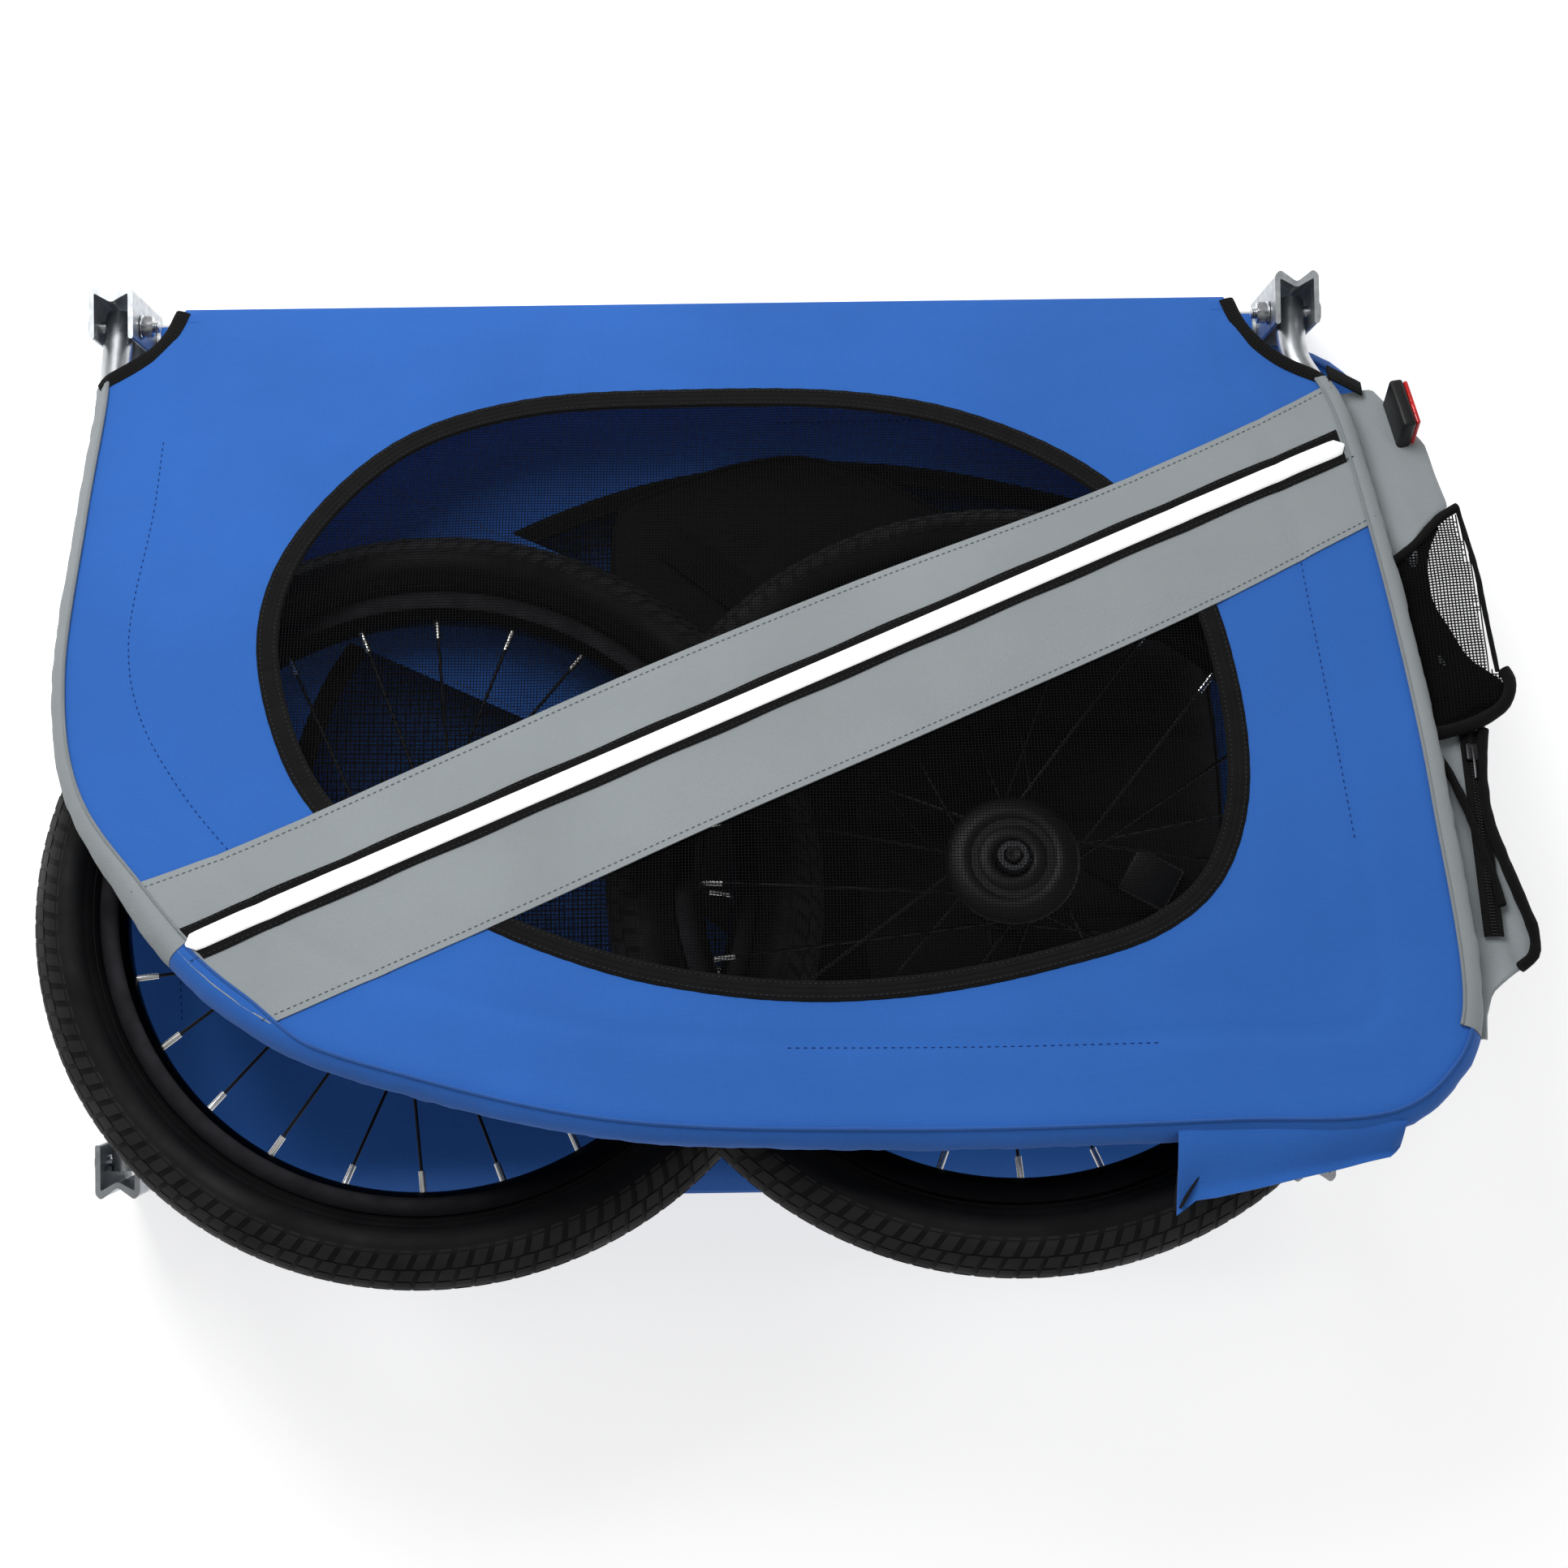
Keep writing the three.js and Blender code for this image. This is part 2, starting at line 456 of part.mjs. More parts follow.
const rimSolid = () => lathe(mirrored([
  [RIM_BED_R, 6], [RIM_BED_R + 6, RIM_HALF], [SECTION_R - 18.9, RIM_HALF], [SECTION_R - 18.9, RIM_HALF - 2.5],
  [RIM_BED_R + 9, RIM_HALF - 2.8], [RIM_BED_R + 6, 4],
]));
const innerTubeSolid = () => lathe(mirrored(
  tyreSection(TYRE_WALL + 0.4, RIM_BED_R + 14).filter((_, i) => i % 2 === 0)));
const hubProfile = () => {
  const seat = BEARING_R + GAP;
  const barrel = seat + HUB_WALL;
  const depth = BEARING_WIDTH + 1;
  return [
    [AXLE_R + 0.6, -HUB_HALF + depth], [seat, -HUB_HALF + depth], [seat, -HUB_HALF], [barrel, -HUB_HALF],
    [barrel, -FLANGE_Z - FLANGE_T / 2], [FLANGE_R, -FLANGE_Z - FLANGE_T / 2], [FLANGE_R, -FLANGE_Z + FLANGE_T / 2],
    [barrel, -FLANGE_Z + FLANGE_T / 2], [barrel, FLANGE_Z - FLANGE_T / 2], [FLANGE_R, FLANGE_Z - FLANGE_T / 2],
    [FLANGE_R, FLANGE_Z + FLANGE_T / 2], [barrel, FLANGE_Z + FLANGE_T / 2], [barrel, HUB_HALF], [seat, HUB_HALF],
    [seat, HUB_HALF - depth], [AXLE_R + 0.6, HUB_HALF - depth],
  ];
};
const spoke = (index) => { // two-cross lacing, alternate flanges, heads on alternate flange faces
  const upper = index % 2 === 0 ? 1 : -1;
  const pair = Math.floor(index / 2) % 2 === 0 ? 1 : -1;
  const rimAngle = (index / SPOKES) * 2 * Math.PI;
  const holeAngle = rimAngle + pair * (4 * Math.PI / (SPOKES / 2));
  const holeR = FLANGE_R - 3.5;
  const holeZ = upper * FLANGE_Z + pair * (FLANGE_T / 2 + SPOKE_R * 0.4);
  const rimR = RIM_BED_R * Math.cos(Math.PI / LATHE_SIDES) - 2 * GAP; // inside the flats of the rim
  const from = new THREE.Vector3(holeR * Math.cos(holeAngle), holeR * Math.sin(holeAngle), holeZ);
  const to = new THREE.Vector3(rimR * Math.cos(rimAngle), rimR * Math.sin(rimAngle), 0);
  const length = to.distanceTo(from);
  const neck = length - NIPPLE_LENGTH;
  const profile = [[0, 0], [SPOKE_R, 0], [SPOKE_R, neck], [NIPPLE_R, neck + 1], [NIPPLE_R, length], [0, length]];
  const wire = new THREE.LatheGeometry(profile.map(([r, y]) => new THREE.Vector2(r, y)), 4);
  const along = to.clone().sub(from).normalize();
  wire.applyQuaternion(new THREE.Quaternion().setFromUnitVectors(new THREE.Vector3(0, 1, 0), along));
  return wire.translate(from.x, from.y, from.z);
};
const bearingSolid = (z) => tube(BEARING_R, AXLE_R + GAP, z, z + BEARING_WIDTH, 'z', [0, 0, 0]);
const axleSolid = () => {
  const top = HUB_HALF + HEAD_T;
  return cut(
    join(
      rod(AXLE_R, -stubDrop, HUB_HALF + 1, 'z', [0, 0, 0]),
      rod(HEAD_R, HUB_HALF + GAP, top, 'z', [0, 0, 0]),
    ),
    rod(BUTTON_R + GAP, top - 12, top + 1, 'z', [0, 0, 0]),
  );
};
const capSolid = () => lathe([
  [HEAD_R + GAP * 2, HUB_HALF + GAP], [CAP_R - 3, HUB_HALF + GAP], [CAP_R, HUB_HALF + 2], [CAP_R - 2, HUB_HALF + 5],
  [CAP_R - 9, HUB_HALF + CAP_T], [HEAD_R + 5, HUB_HALF + CAP_T], [HEAD_R + GAP * 2, HUB_HALF + CAP_T - 1],
], 24);

const buildWheel = (name, [x, y], z) => {
  const group = new THREE.Group();
  group.position.set(x, y, z);
  group.rotation.x = -WHEEL_SLOPE;
  add(group, `${name}_tyre`, tyreSolid(), ...RUBBER);
  add(group, `${name}_inner_tube`, innerTubeSolid(), ...RUBBER);
  add(group, `${name}_rim`, rimSolid(), 0x101012, 0.35, 0.6);
  const spokes = Array.from({ length: SPOKES }, (_, i) => spoke(i));
  add(group, `${name}_spoked_hub`, join(lathe(hubProfile(), 16), ...spokes), ...STEEL);
  add(group, `${name}_inner_bearing`, bearingSolid(-HUB_HALF + 1 - GAP), 0x8c9092, 0.3, 0.9);
  add(group, `${name}_outer_bearing`, bearingSolid(HUB_HALF - BEARING_WIDTH - 1 + GAP), 0x8c9092, 0.3, 0.9);
  add(group, `${name}_axle`, axleSolid(), 0xb8bcc0, 0.3, 0.9);
  add(group, `${name}_hub_cap`, capSolid(), ...PLASTIC);
  const top = HUB_HALF + HEAD_T;
  add(group, `${name}_release_button`, rod(BUTTON_R, top - 7, top + BUTTON_OUT, 'z', [0, 0, 0]), ...PLASTIC);
  trailer.add(group);
};
buildWheel('front_wheel', FRONT_WHEEL, frontZ);
buildWheel('rear_wheel', REAR_WHEEL, rearZ);

// ---- the whole trailer stands on z = 0, centred in x and y ---------------------------------------------------
trailer.updateMatrixWorld(true);
const bounds = new THREE.Box3().setFromObject(trailer, true);
trailer.position.set(-(bounds.min.x + bounds.max.x) / 2, -(bounds.min.y + bounds.max.y) / 2, -bounds.min.z);
const whole = new THREE.Group();
whole.add(trailer);

export default whole;
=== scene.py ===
"""A child bicycle trailer, folded for storage: two cloth-covered side frames one over the other, with both
wheels taken off and stacked between them. Metres, +X to the rear, +Y to the trailer's right side, +Z up.
Shapes on a side frame are drawn in millimetres as x, v and n: v runs from the fold axis to the roof and n
stands off the frame."""
import json
import math

import bmesh
import bpy
import numpy as np
from mathutils import Matrix, Vector, geometry, noise


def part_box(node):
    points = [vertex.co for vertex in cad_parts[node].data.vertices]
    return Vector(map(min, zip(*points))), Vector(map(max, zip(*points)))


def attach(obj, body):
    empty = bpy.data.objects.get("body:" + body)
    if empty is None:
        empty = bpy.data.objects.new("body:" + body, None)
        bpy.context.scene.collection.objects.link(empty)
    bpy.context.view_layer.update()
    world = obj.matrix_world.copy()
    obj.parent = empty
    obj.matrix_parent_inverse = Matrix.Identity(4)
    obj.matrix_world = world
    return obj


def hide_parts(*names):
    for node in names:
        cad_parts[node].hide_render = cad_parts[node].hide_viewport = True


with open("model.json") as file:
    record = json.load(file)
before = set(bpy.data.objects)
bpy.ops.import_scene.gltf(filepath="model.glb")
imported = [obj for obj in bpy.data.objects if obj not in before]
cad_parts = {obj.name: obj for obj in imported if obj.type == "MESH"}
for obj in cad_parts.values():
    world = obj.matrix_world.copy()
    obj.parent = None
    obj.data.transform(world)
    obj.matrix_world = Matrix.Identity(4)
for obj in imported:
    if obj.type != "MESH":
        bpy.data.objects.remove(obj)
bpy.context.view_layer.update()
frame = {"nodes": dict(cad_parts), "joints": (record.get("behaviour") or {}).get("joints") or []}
MM = 0.001

# ---- sizes shared with the frame, in millimetres -------------------------------------------------
BRACKET_X = 388
BRACKET_HALF = 14
BRACKET_WALL = 2.5
BRACKET_OUT = 22
BRACKET_IN = 12
NOTCH = 7.5
BOLT_R = 4
TUBE_R = 9.5
TUBE_WALL = 1.5
RAIL_R = 12.5
CROSSBAR_R = 11
DRAWN_HEIGHT = 573
CLOTH = 1.2
LIFT = 1.0  # middle of the cloth above the tubes
TIP = 0.55  # a solid bar's end face, as a share of its radius
WRAP = 30  # how far the edge cloths reach round a tube from its line
WINDOW = [
    (-279, 266), (-275, 203), (-244, 145), (-193, 97), (-121, 71), (-10, 64), (100, 68), (173, 86),
    (247, 128), (308, 200), (329, 287), (328, 370), (307, 424), (271, 455), (206, 477), (133, 492),
    (61, 496), (-12, 488), (-75, 471), (-150, 436), (-242, 364),
]
BINDING = 12
BAND_TOP = [(-352, 417), (-290, 393), (-161, 330), (-49, 275), (97, 209), (254, 144), (361, 91), (408, 64)]
BAND_FOOT = [(-262, 508), (-134, 448), (13, 376), (144, 315), (320, 230), (424, 172)]
STRIP = [(-311, 455.7), (411, 113.4)]
TAPE_WIDTH = 24
STRIP_WIDTH = 12.5
TAPE_STITCH = (0.0012, 0.0004, 0.0003)  # metres, along, across and high
TYRE_R = 250
TYRE_HALF = 23.5
SECTION_R = TYRE_R - TYRE_HALF
TREADS = 126  # blocks round a tyre
RIM_BED_R = 190
RIM_HALF = 12.5
HUB_HALF = 33
FLANGE_Z = 25
FLANGE_R = 25
SPOKES = 24
AXLE_R = 8
AXLE_DROP = 78
CAP_R = 41
CAP_T = 8
HEAD_R = 11
HEAD_T = 12
BUTTON_R = 5
BUTTON_OUT = 3.5

BASE_X = sum((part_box(f"right_{end}_bracket")[i].x) for end in ("front", "rear") for i in (0, 1)) / 4
fold = next(j for j in frame["joints"] if j["name"] == "right_side_fold")
RIGHT_SLOPE = math.radians(90 - fold["range_deg"][1])
LEFT_HEIGHT, LEFT_DROP = 528, 40.4  # the left side lies down on the floor cloth from its pivots
LEFT_SLOPE = math.asin(LEFT_DROP / LEFT_HEIGHT)


def bolt_line(node):
    low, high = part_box(node)
    return (low.y + high.y) / 2, (low.z + high.z) / 2


def tilted(origin, slope, sign=1):
    """A function from drawn x, v, n in millimetres to the frame's metres."""
    ox, oy, oz = origin
    c, s = math.cos(slope), math.sin(slope)

    def place(points):
        p = np.atleast_2d(np.array(points, float)) * MM
        x, v, n = p[:, 0], p[:, 1], p[:, 2]
        return np.column_stack([ox + x, oy + sign * v * c + n * s, oz - sign * v * s + n * c])

    return place


# ---- curves and meshes ---------------------------------------------------------------------------
def spline(points, step, closed=False):
    """A smooth curve through points, sampled about every step."""
    p = np.array(points, float)
    count = len(p)
    out = []
    for i in range(count if closed else count - 1):
        b, c = p[i], p[(i + 1) % count]
        a = p[i - 1] if closed or i else 2 * b - c
        d = p[(i + 2) % count] if closed or i + 2 < count else 2 * c - b
        t0, t1, t2 = (max(np.linalg.norm(q - r), 1e-6) ** 0.5 for q, r in ((b, a), (c, b), (d, c)))
        m1 = ((b - a) / t0 - (c - a) / (t0 + t1) + (c - b) / t1) * t1
        m2 = ((c - b) / t1 - (d - b) / (t1 + t2) + (d - c) / t2) * t1
        k = max(1, round(np.linalg.norm(c - b) / step))
        t = (np.arange(k) / k)[:, None]
        out.append((2 * t**3 - 3 * t**2 + 1) * b + (t**3 - 2 * t**2 + t) * m1
                   + (3 * t**2 - 2 * t**3) * c + (t**3 - t**2) * m2)
    if not closed:
        out.append(p[-1:])
    return np.vstack(out)


def even(points, step, closed=False):
    """The same polyline with points evenly spaced along it."""
    p = np.array(points, float)
    if closed:
        p = np.vstack([p, p[:1]])
    length = np.concatenate([[0], np.cumsum(np.linalg.norm(np.diff(p, axis=0), axis=1))])
    count = max(2, round(length[-1] / step) + 1)
    at = np.linspace(0, length[-1], count)
    out = np.column_stack([np.interp(at, length, p[:, k]) for k in range(p.shape[1])])
    return out[:-1] if closed else out


def normals(points, closed=False):
    """Unit normals of a flat polyline, to the left of its direction."""
    p = np.array(points, float)
    if closed:
        d = np.roll(p, -1, axis=0) - np.roll(p, 1, axis=0)
    else:
        d = np.gradient(p, axis=0)
    d /= np.linalg.norm(d, axis=1)[:, None]
    return np.column_stack([-d[:, 1], d[:, 0]])


def nearest(line, points, closed=False):
    """Signed distance to the left of a polyline, the nearest point on it and the normal there."""
    a = np.array(line, float)
    b = np.roll(a, -1, axis=0) if closed else a[1:]
    a = a if closed else a[:-1]
    d = b - a
    size = (d**2).sum(1)
    normal = np.column_stack([-d[:, 1], d[:, 0]]) / np.sqrt(size)[:, None]
    gap, foot, side = np.empty(len(points)), np.empty((len(points), 2)), np.empty((len(points), 2))
    for k in range(0, len(points), 4000):
        q = np.array(points[k:k + 4000], float)[:, :2]
        t = np.clip(((q[:, None] - a) * d).sum(2) / size, 0, 1)
        f = a + t[..., None] * d
        away = ((q[:, None] - f) ** 2).sum(2)
        j = away.argmin(1)
        row = np.arange(len(q))
        foot[k:k + 4000], side[k:k + 4000] = f[row, j], normal[j]
        sign = np.where(((q - f[row, j]) * normal[j]).sum(1) < 0, -1, 1)
        gap[k:k + 4000] = np.sqrt(away[row, j]) * sign
    return gap, foot, side


def inside(loop, points):
    p, q = np.array(loop, float), np.array(points, float)
    hit = np.zeros(len(q), bool)
    for (ax, ay), (bx, by) in zip(p, np.roll(p, -1, axis=0)):
        if ay == by:
            continue
        cross = (q[:, 1] < ay) != (q[:, 1] < by)
        hit ^= cross & (q[:, 0] < ax + (q[:, 1] - ay) * (bx - ax) / (by - ay))
    return hit


def ease(x, low, high):
    t = np.clip((np.asarray(x, float) - low) / (high - low), 0, 1)
    return t * t * (3 - 2 * t)


def ripple(points, size, seed=0):
    """Smooth noise from -1 to 1 at each point."""
    p = np.array(points, float) / size
    z = p[:, 2] if p.shape[1] > 2 else np.zeros(len(p))
    return np.array([noise.noise(Vector((a, b, c + seed * 7.3))) for a, b, c in zip(p[:, 0], p[:, 1], z)])


def quads(rows, columns, around=True, loop=False):
    """Faces between rows of points. around joins each row's ends, loop the last row to the first."""
    return [(i * columns + j, (i + 1) % rows * columns + j,
             (i + 1) % rows * columns + (j + 1) % columns, i * columns + (j + 1) % columns)
            for i in range(rows if loop else rows - 1) for j in range(columns if around else columns - 1)]


def end_faces(rows, columns):
    return [tuple(range(columns)), tuple((rows - 1) * columns + j for j in range(columns))]


def mesh_object(name, points, faces, edges=(), uv=None):
    mesh = bpy.data.meshes.new(name)
    mesh.from_pydata([tuple(p) for p in points], list(edges), [tuple(int(i) for i in f) for f in faces])
    mesh.update()
    if uv is not None and len(faces):
        layer = mesh.uv_layers.new(name="UVMap")
        index = np.empty(len(mesh.loops), np.int32)
        mesh.loops.foreach_get("vertex_index", index)
        layer.data.foreach_set("uv", np.array(uv, np.float32)[index].ravel())
    item = bpy.data.objects.new(name, mesh)
    bpy.context.scene.collection.objects.link(item)
    return item


def bake(item):
    """Applies an object's modifiers to its mesh."""
    graph = bpy.context.evaluated_depsgraph_get()
    mesh = bpy.data.meshes.new_from_object(item.evaluated_get(graph), preserve_all_data_layers=True,
                                           depsgraph=graph)
    item.modifiers.clear()
    item.data = mesh
    return item


def face_out(item):
    bm = bmesh.new()
    bm.from_mesh(item.data)
    bmesh.ops.recalc_face_normals(bm, faces=bm.faces)
    bm.to_mesh(item.data)
    bm.free()


def fit(item, body, material, slot=None, node=None, sharp=40, closed=True):
    """Finishes a piece: faces out, smooth shading, its finish, the body it rides on, the node it replaces."""
    if item.modifiers:
        bake(item)
    if closed:
        face_out(item)
    mesh = item.data
    mesh.polygons.foreach_set("use_smooth", [True] * len(mesh.polygons))
    mesh.set_sharp_from_angle(angle=math.radians(sharp))
    mesh.materials.clear()
    mesh.materials.append(material)
    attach(item, body)
    if node:
        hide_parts(*([node] if isinstance(node, str) else node))
    return item


def thicken(item, thickness):
    wall = item.modifiers.new("Wall", "SOLIDIFY")
    wall.thickness = thickness * MM
    wall.offset = 0
    return bake(item)


def grid(name, rows, closed=False, uv=None):
    """A sheet from rows of points, each row the same length. closed joins each row's ends."""
    rows = np.array(rows, float)
    m, k = rows.shape[:2]
    if uv is None:
        along = np.concatenate([[0], np.cumsum(np.linalg.norm(np.diff(rows, axis=0), axis=2).mean(1))])
        step = np.linalg.norm(np.diff(rows, axis=1), axis=2).mean(0)
        across = np.concatenate([[0], np.cumsum(step)])
        uv = [(a, b) for a in along for b in across]
    return mesh_object(name, rows.reshape(-1, 3), quads(m, k, closed), uv=uv)


def ribbon(name, rows, thickness, body, material, slot, node=None, **shape):
    """A finished strip of cloth or tape from rows of points."""
    return fit(thicken(grid(name, rows, **shape), thickness), body, material, slot, node)


def turned(name, profile, place, sides=96, close=True):
    """A solid of revolution about n from (radius, n) points, closed round its profile."""
    p = np.array(profile, float)
    a = np.linspace(0, 2 * math.pi, sides, endpoint=False)
    rings = [place(np.column_stack([r * np.cos(a), r * np.sin(a), np.full(sides, n)])) for r, n in p]
    length = np.concatenate([[0], np.cumsum(np.linalg.norm(np.diff(p, axis=0), axis=1))]) * MM
    uv = [(t * p[:, 0].max() * MM, across) for across in length for t in a]
    return mesh_object(name, np.vstack(rings), quads(len(p), sides, loop=close), uv=uv)


def ring_frame(line):
    """Directions across a 3-D path, turned as little as possible from point to point."""
    p = np.array(line, float)
    d = np.gradient(p, axis=0)
    d /= np.linalg.norm(d, axis=1)[:, None]
    up = np.array([0, 0, 1.0]) if abs(d[0][2]) < 0.9 else np.array([0, 1.0, 0])
    across = []
    for t in d:
        up = up - t * up.dot(t)
        up /= np.linalg.norm(up)
        across.append((up, np.cross(t, up)))
    return across


def pipe(name, line, radius, wall=None, sides=24):
    """A round bar along a path in metres, or a tube if it has a wall. Radius may vary along it."""
    p = np.array(line, float)
    r = np.broadcast_to(np.array(radius, float) * MM, (len(p),))
    a = np.linspace(0, 2 * math.pi, sides, endpoint=False)
    frames = ring_frame(p)
    ring = lambda i, q: p[i] + q * (np.outer(np.cos(a), frames[i][0]) + np.outer(np.sin(a), frames[i][1]))
    rows = [ring(i, r[i]) for i in range(len(p))]
    if wall:
        rows += [ring(i, r[i] - wall * MM) for i in reversed(range(len(p)))]
        faces = quads(len(rows), sides, loop=True)
    else:
        rows = [ring(0, r[0] * TIP)] + rows + [ring(-1, r[-1] * TIP)]
        faces = quads(len(rows), sides) + end_faces(len(rows), sides)
    uv = [(i * 0.01, t) for i in range(len(rows)) for t in a * MM * 10]
    return mesh_object(name, np.vstack(rows), faces, uv=uv)


def cord(name, line, radius, body, material, slot, sides=8):
    """A finished round piping, binding or bar."""
    return fit(pipe(name, line, radius, sides=sides), body, material, slot)


def move_points(item, place):
    """Carries a mesh drawn in metres about the origin to its place on the object."""
    moved = np.array([v.co for v in item.data.vertices], float) / MM
    item.data.vertices.foreach_set("co", place(moved).astype(np.float32).ravel())
    item.data.update()


def cut_cloth(outline, hole, step):
    """Points and triangles over an outline, with its hole left out."""
    outline, hole = np.array(outline), None if hole is None else np.array(hole)
    low, high = outline.min(0), outline.max(0)
    xs, ys = np.arange(low[0], high[0], step), np.arange(low[1], high[1], step * 0.866)
    fill = np.array([(x + (step / 2 if i % 2 else 0), y) for i, y in enumerate(ys) for x in xs])
    keep = inside(outline, fill) & (abs(nearest(outline, fill, True)[0]) > step * 0.5)
    if hole is not None:
        keep &= ~inside(hole, fill) & (abs(nearest(hole, fill, True)[0]) > step * 0.5)
    loops = [outline] if hole is None else [outline, hole]
    points = np.vstack(loops + [fill[keep]])
    edges, start = [], 0
    for loop in loops:
        edges += [(start + i, start + (i + 1) % len(loop)) for i in range(len(loop))]
        start += len(loop)
    done = geometry.delaunay_2d_cdt([Vector(p) for p in points], edges, [], 0, 1e-5)
    spots = np.array([tuple(v) for v in done[0]])
    faces = np.array([f for f in done[2] if len(f) == 3])
    middle = spots[faces].mean(1)
    ok = inside(outline, middle)
    if hole is not None:
        ok &= ~inside(hole, middle)
    return spots, faces[ok]


def softened(name, node, bevel, body, material, slot):
    """A finished copy of a frame node with its doubles merged and its edges rounded."""
    bm = bmesh.new()
    bm.from_mesh(frame["nodes"][node].data)
    bmesh.ops.remove_doubles(bm, verts=bm.verts, dist=1e-5)
    bmesh.ops.dissolve_limit(bm, angle_limit=math.radians(1), verts=bm.verts, edges=bm.edges)
    mesh = bpy.data.meshes.new(name)
    bm.to_mesh(mesh)
    bm.free()
    item = bpy.data.objects.new(name, mesh)
    bpy.context.scene.collection.objects.link(item)
    edge = item.modifiers.new("Edges", "BEVEL")
    edge.width, edge.segments, edge.limit_method = bevel * MM, 3, "ANGLE"
    edge.angle_limit = math.radians(25)
    return fit(item, body, material, slot, node)


# ---- geometry node trees -------------------------------------------------------------------------
def new_tree(name, inputs):
    tree = bpy.data.node_groups.new(name, "GeometryNodeTree")
    tree.interface.new_socket("Geometry", in_out="INPUT", socket_type="NodeSocketGeometry")
    for label, kind, value in inputs:
        socket = tree.interface.new_socket(label, in_out="INPUT", socket_type="NodeSocket" + kind)
        if value is not None:
            socket.default_value = value
    tree.interface.new_socket("Geometry", in_out="OUTPUT", socket_type="NodeSocketGeometry")
    return tree, tree.nodes.new("NodeGroupInput"), tree.nodes.new("NodeGroupOutput")


def wire(tree, kind, **inputs):
    """Adds a node and sets or links its inputs, a space written as an underscore."""
    node = tree.nodes.new(kind)
    for name, value in inputs.items():
        socket = next(s for s in node.inputs if s.name == name.replace("_", " ") and s.enabled)
        if isinstance(value, bpy.types.NodeSocket):
            tree.links.new(value, socket)
        else:
            socket.default_value = value
    return node


def end_tree(tree, last, given, out):
    real = wire(tree, "GeometryNodeRealizeInstances", Geometry=last)
    dressed = wire(tree, "GeometryNodeSetMaterial", Geometry=real.outputs[0],
                   Material=given.outputs["Material"])
    tree.links.new(dressed.outputs[0], out.inputs[0])
    return tree


def thread_tree():
    """Round threads along every polyline."""
    tree, given, out = new_tree("Threads", [
        ("Radius", "Float", 0.0004), ("Sides", "Int", 3), ("Material", "Material", None)])
    line = wire(tree, "GeometryNodeMeshToCurve", Mesh=given.outputs["Geometry"])
    ring = wire(tree, "GeometryNodeCurvePrimitiveCircle", Resolution=given.outputs["Sides"],
                Radius=given.outputs["Radius"])
    body = wire(tree, "GeometryNodeCurveToMesh", Curve=line.outputs[0], Profile_Curve=ring.outputs[0],
                Fill_Caps=True)
    return end_tree(tree, body.outputs[0], given, out)


def stitch_tree():
    """Small rounded beads along every polyline, each turned to follow it."""
    tree, given, out = new_tree("Stitches", [
        ("Spacing", "Float", 0.0042), ("Size", "Vector", (0.0014, 0.0004, 0.0003)),
        ("Material", "Material", None)])
    line = wire(tree, "GeometryNodeMeshToCurve", Mesh=given.outputs["Geometry"])
    spread = tree.nodes.new("GeometryNodeResampleCurve")
    spread.mode = "LENGTH"
    tree.links.new(line.outputs[0], spread.inputs["Curve"])
    tree.links.new(given.outputs["Spacing"], spread.inputs["Length"])
    along = tree.nodes.new("GeometryNodeInputTangent")
    turn = wire(tree, "FunctionNodeAlignRotationToVector", Vector=along.outputs[0])
    turn.axis = "X"
    bead = wire(tree, "GeometryNodeMeshIcoSphere", Radius=1.0, Subdivisions=1)
    laid = wire(tree, "GeometryNodeInstanceOnPoints", Points=spread.outputs[0], Instance=bead.outputs[0],
                Rotation=turn.outputs[0], Scale=given.outputs["Size"])
    return end_tree(tree, laid.outputs[0], given, out)


def ring_tree():
    """Copies of the given shape turned about n, evenly round."""
    tree, given, out = new_tree("Round", [("Count", "Int", 24), ("Material", "Material", None)])
    spots = wire(tree, "GeometryNodePoints", Count=given.outputs["Count"])
    index = tree.nodes.new("GeometryNodeInputIndex")
    share = wire(tree, "ShaderNodeMath", Value=index.outputs[0])
    share.operation = "DIVIDE"
    tree.links.new(given.outputs["Count"], share.inputs[1])
    angle = tree.nodes.new("ShaderNodeMath")
    angle.operation = "MULTIPLY"
    tree.links.new(share.outputs[0], angle.inputs[0])
    angle.inputs[1].default_value = 2 * math.pi
    euler = wire(tree, "ShaderNodeCombineXYZ", Z=angle.outputs[0])
    copies = wire(tree, "GeometryNodeInstanceOnPoints", Points=spots.outputs[0],
                  Instance=given.outputs["Geometry"], Rotation=euler.outputs[0])
    return end_tree(tree, copies.outputs[0], given, out)


def grow(item, tree, **inputs):
    """Runs a tree on an object and keeps the resulting mesh."""
    modifier = item.modifiers.new("Tree", "NODES")
    modifier.node_group = tree
    for socket in tree.interface.items_tree:
        if socket.in_out == "INPUT" and socket.name in inputs:
            modifier[socket.identifier] = inputs[socket.name]
    item.data.update()
    return bake(item)


def lines_object(name, lines, closed=False):
    points, edges = [], []
    for line in lines:
        start = len(points)
        points += [tuple(p) for p in line]
        edges += [(start + i, start + i + 1) for i in range(len(line) - 1)]
        if closed:
            edges.append((start + len(line) - 1, start))
    return mesh_object(name, points, [], edges)


def sew(name, lines, body, thread, spacing, size, closed=False):
    """Stitches or teeth along every line; spacing and size in metres."""
    seam = grow(lines_object(name, lines, closed), STITCHES, Spacing=spacing, Size=size, Material=thread)
    return fit(seam, body, thread, sharp=180, closed=False)


THREADS, STITCHES, ROUND = thread_tree(), stitch_tree(), ring_tree()


# ---- finishes ------------------------------------------------------------------------------------
def colour(red, green, blue):
    """Display values from 0 to 255 as scene-linear ones."""
    return tuple((c / 12.92 if c <= 0.04045 else ((c + 0.055) / 1.055) ** 2.4)
                 for c in (red / 255, green / 255, blue / 255)) + (1.0,)


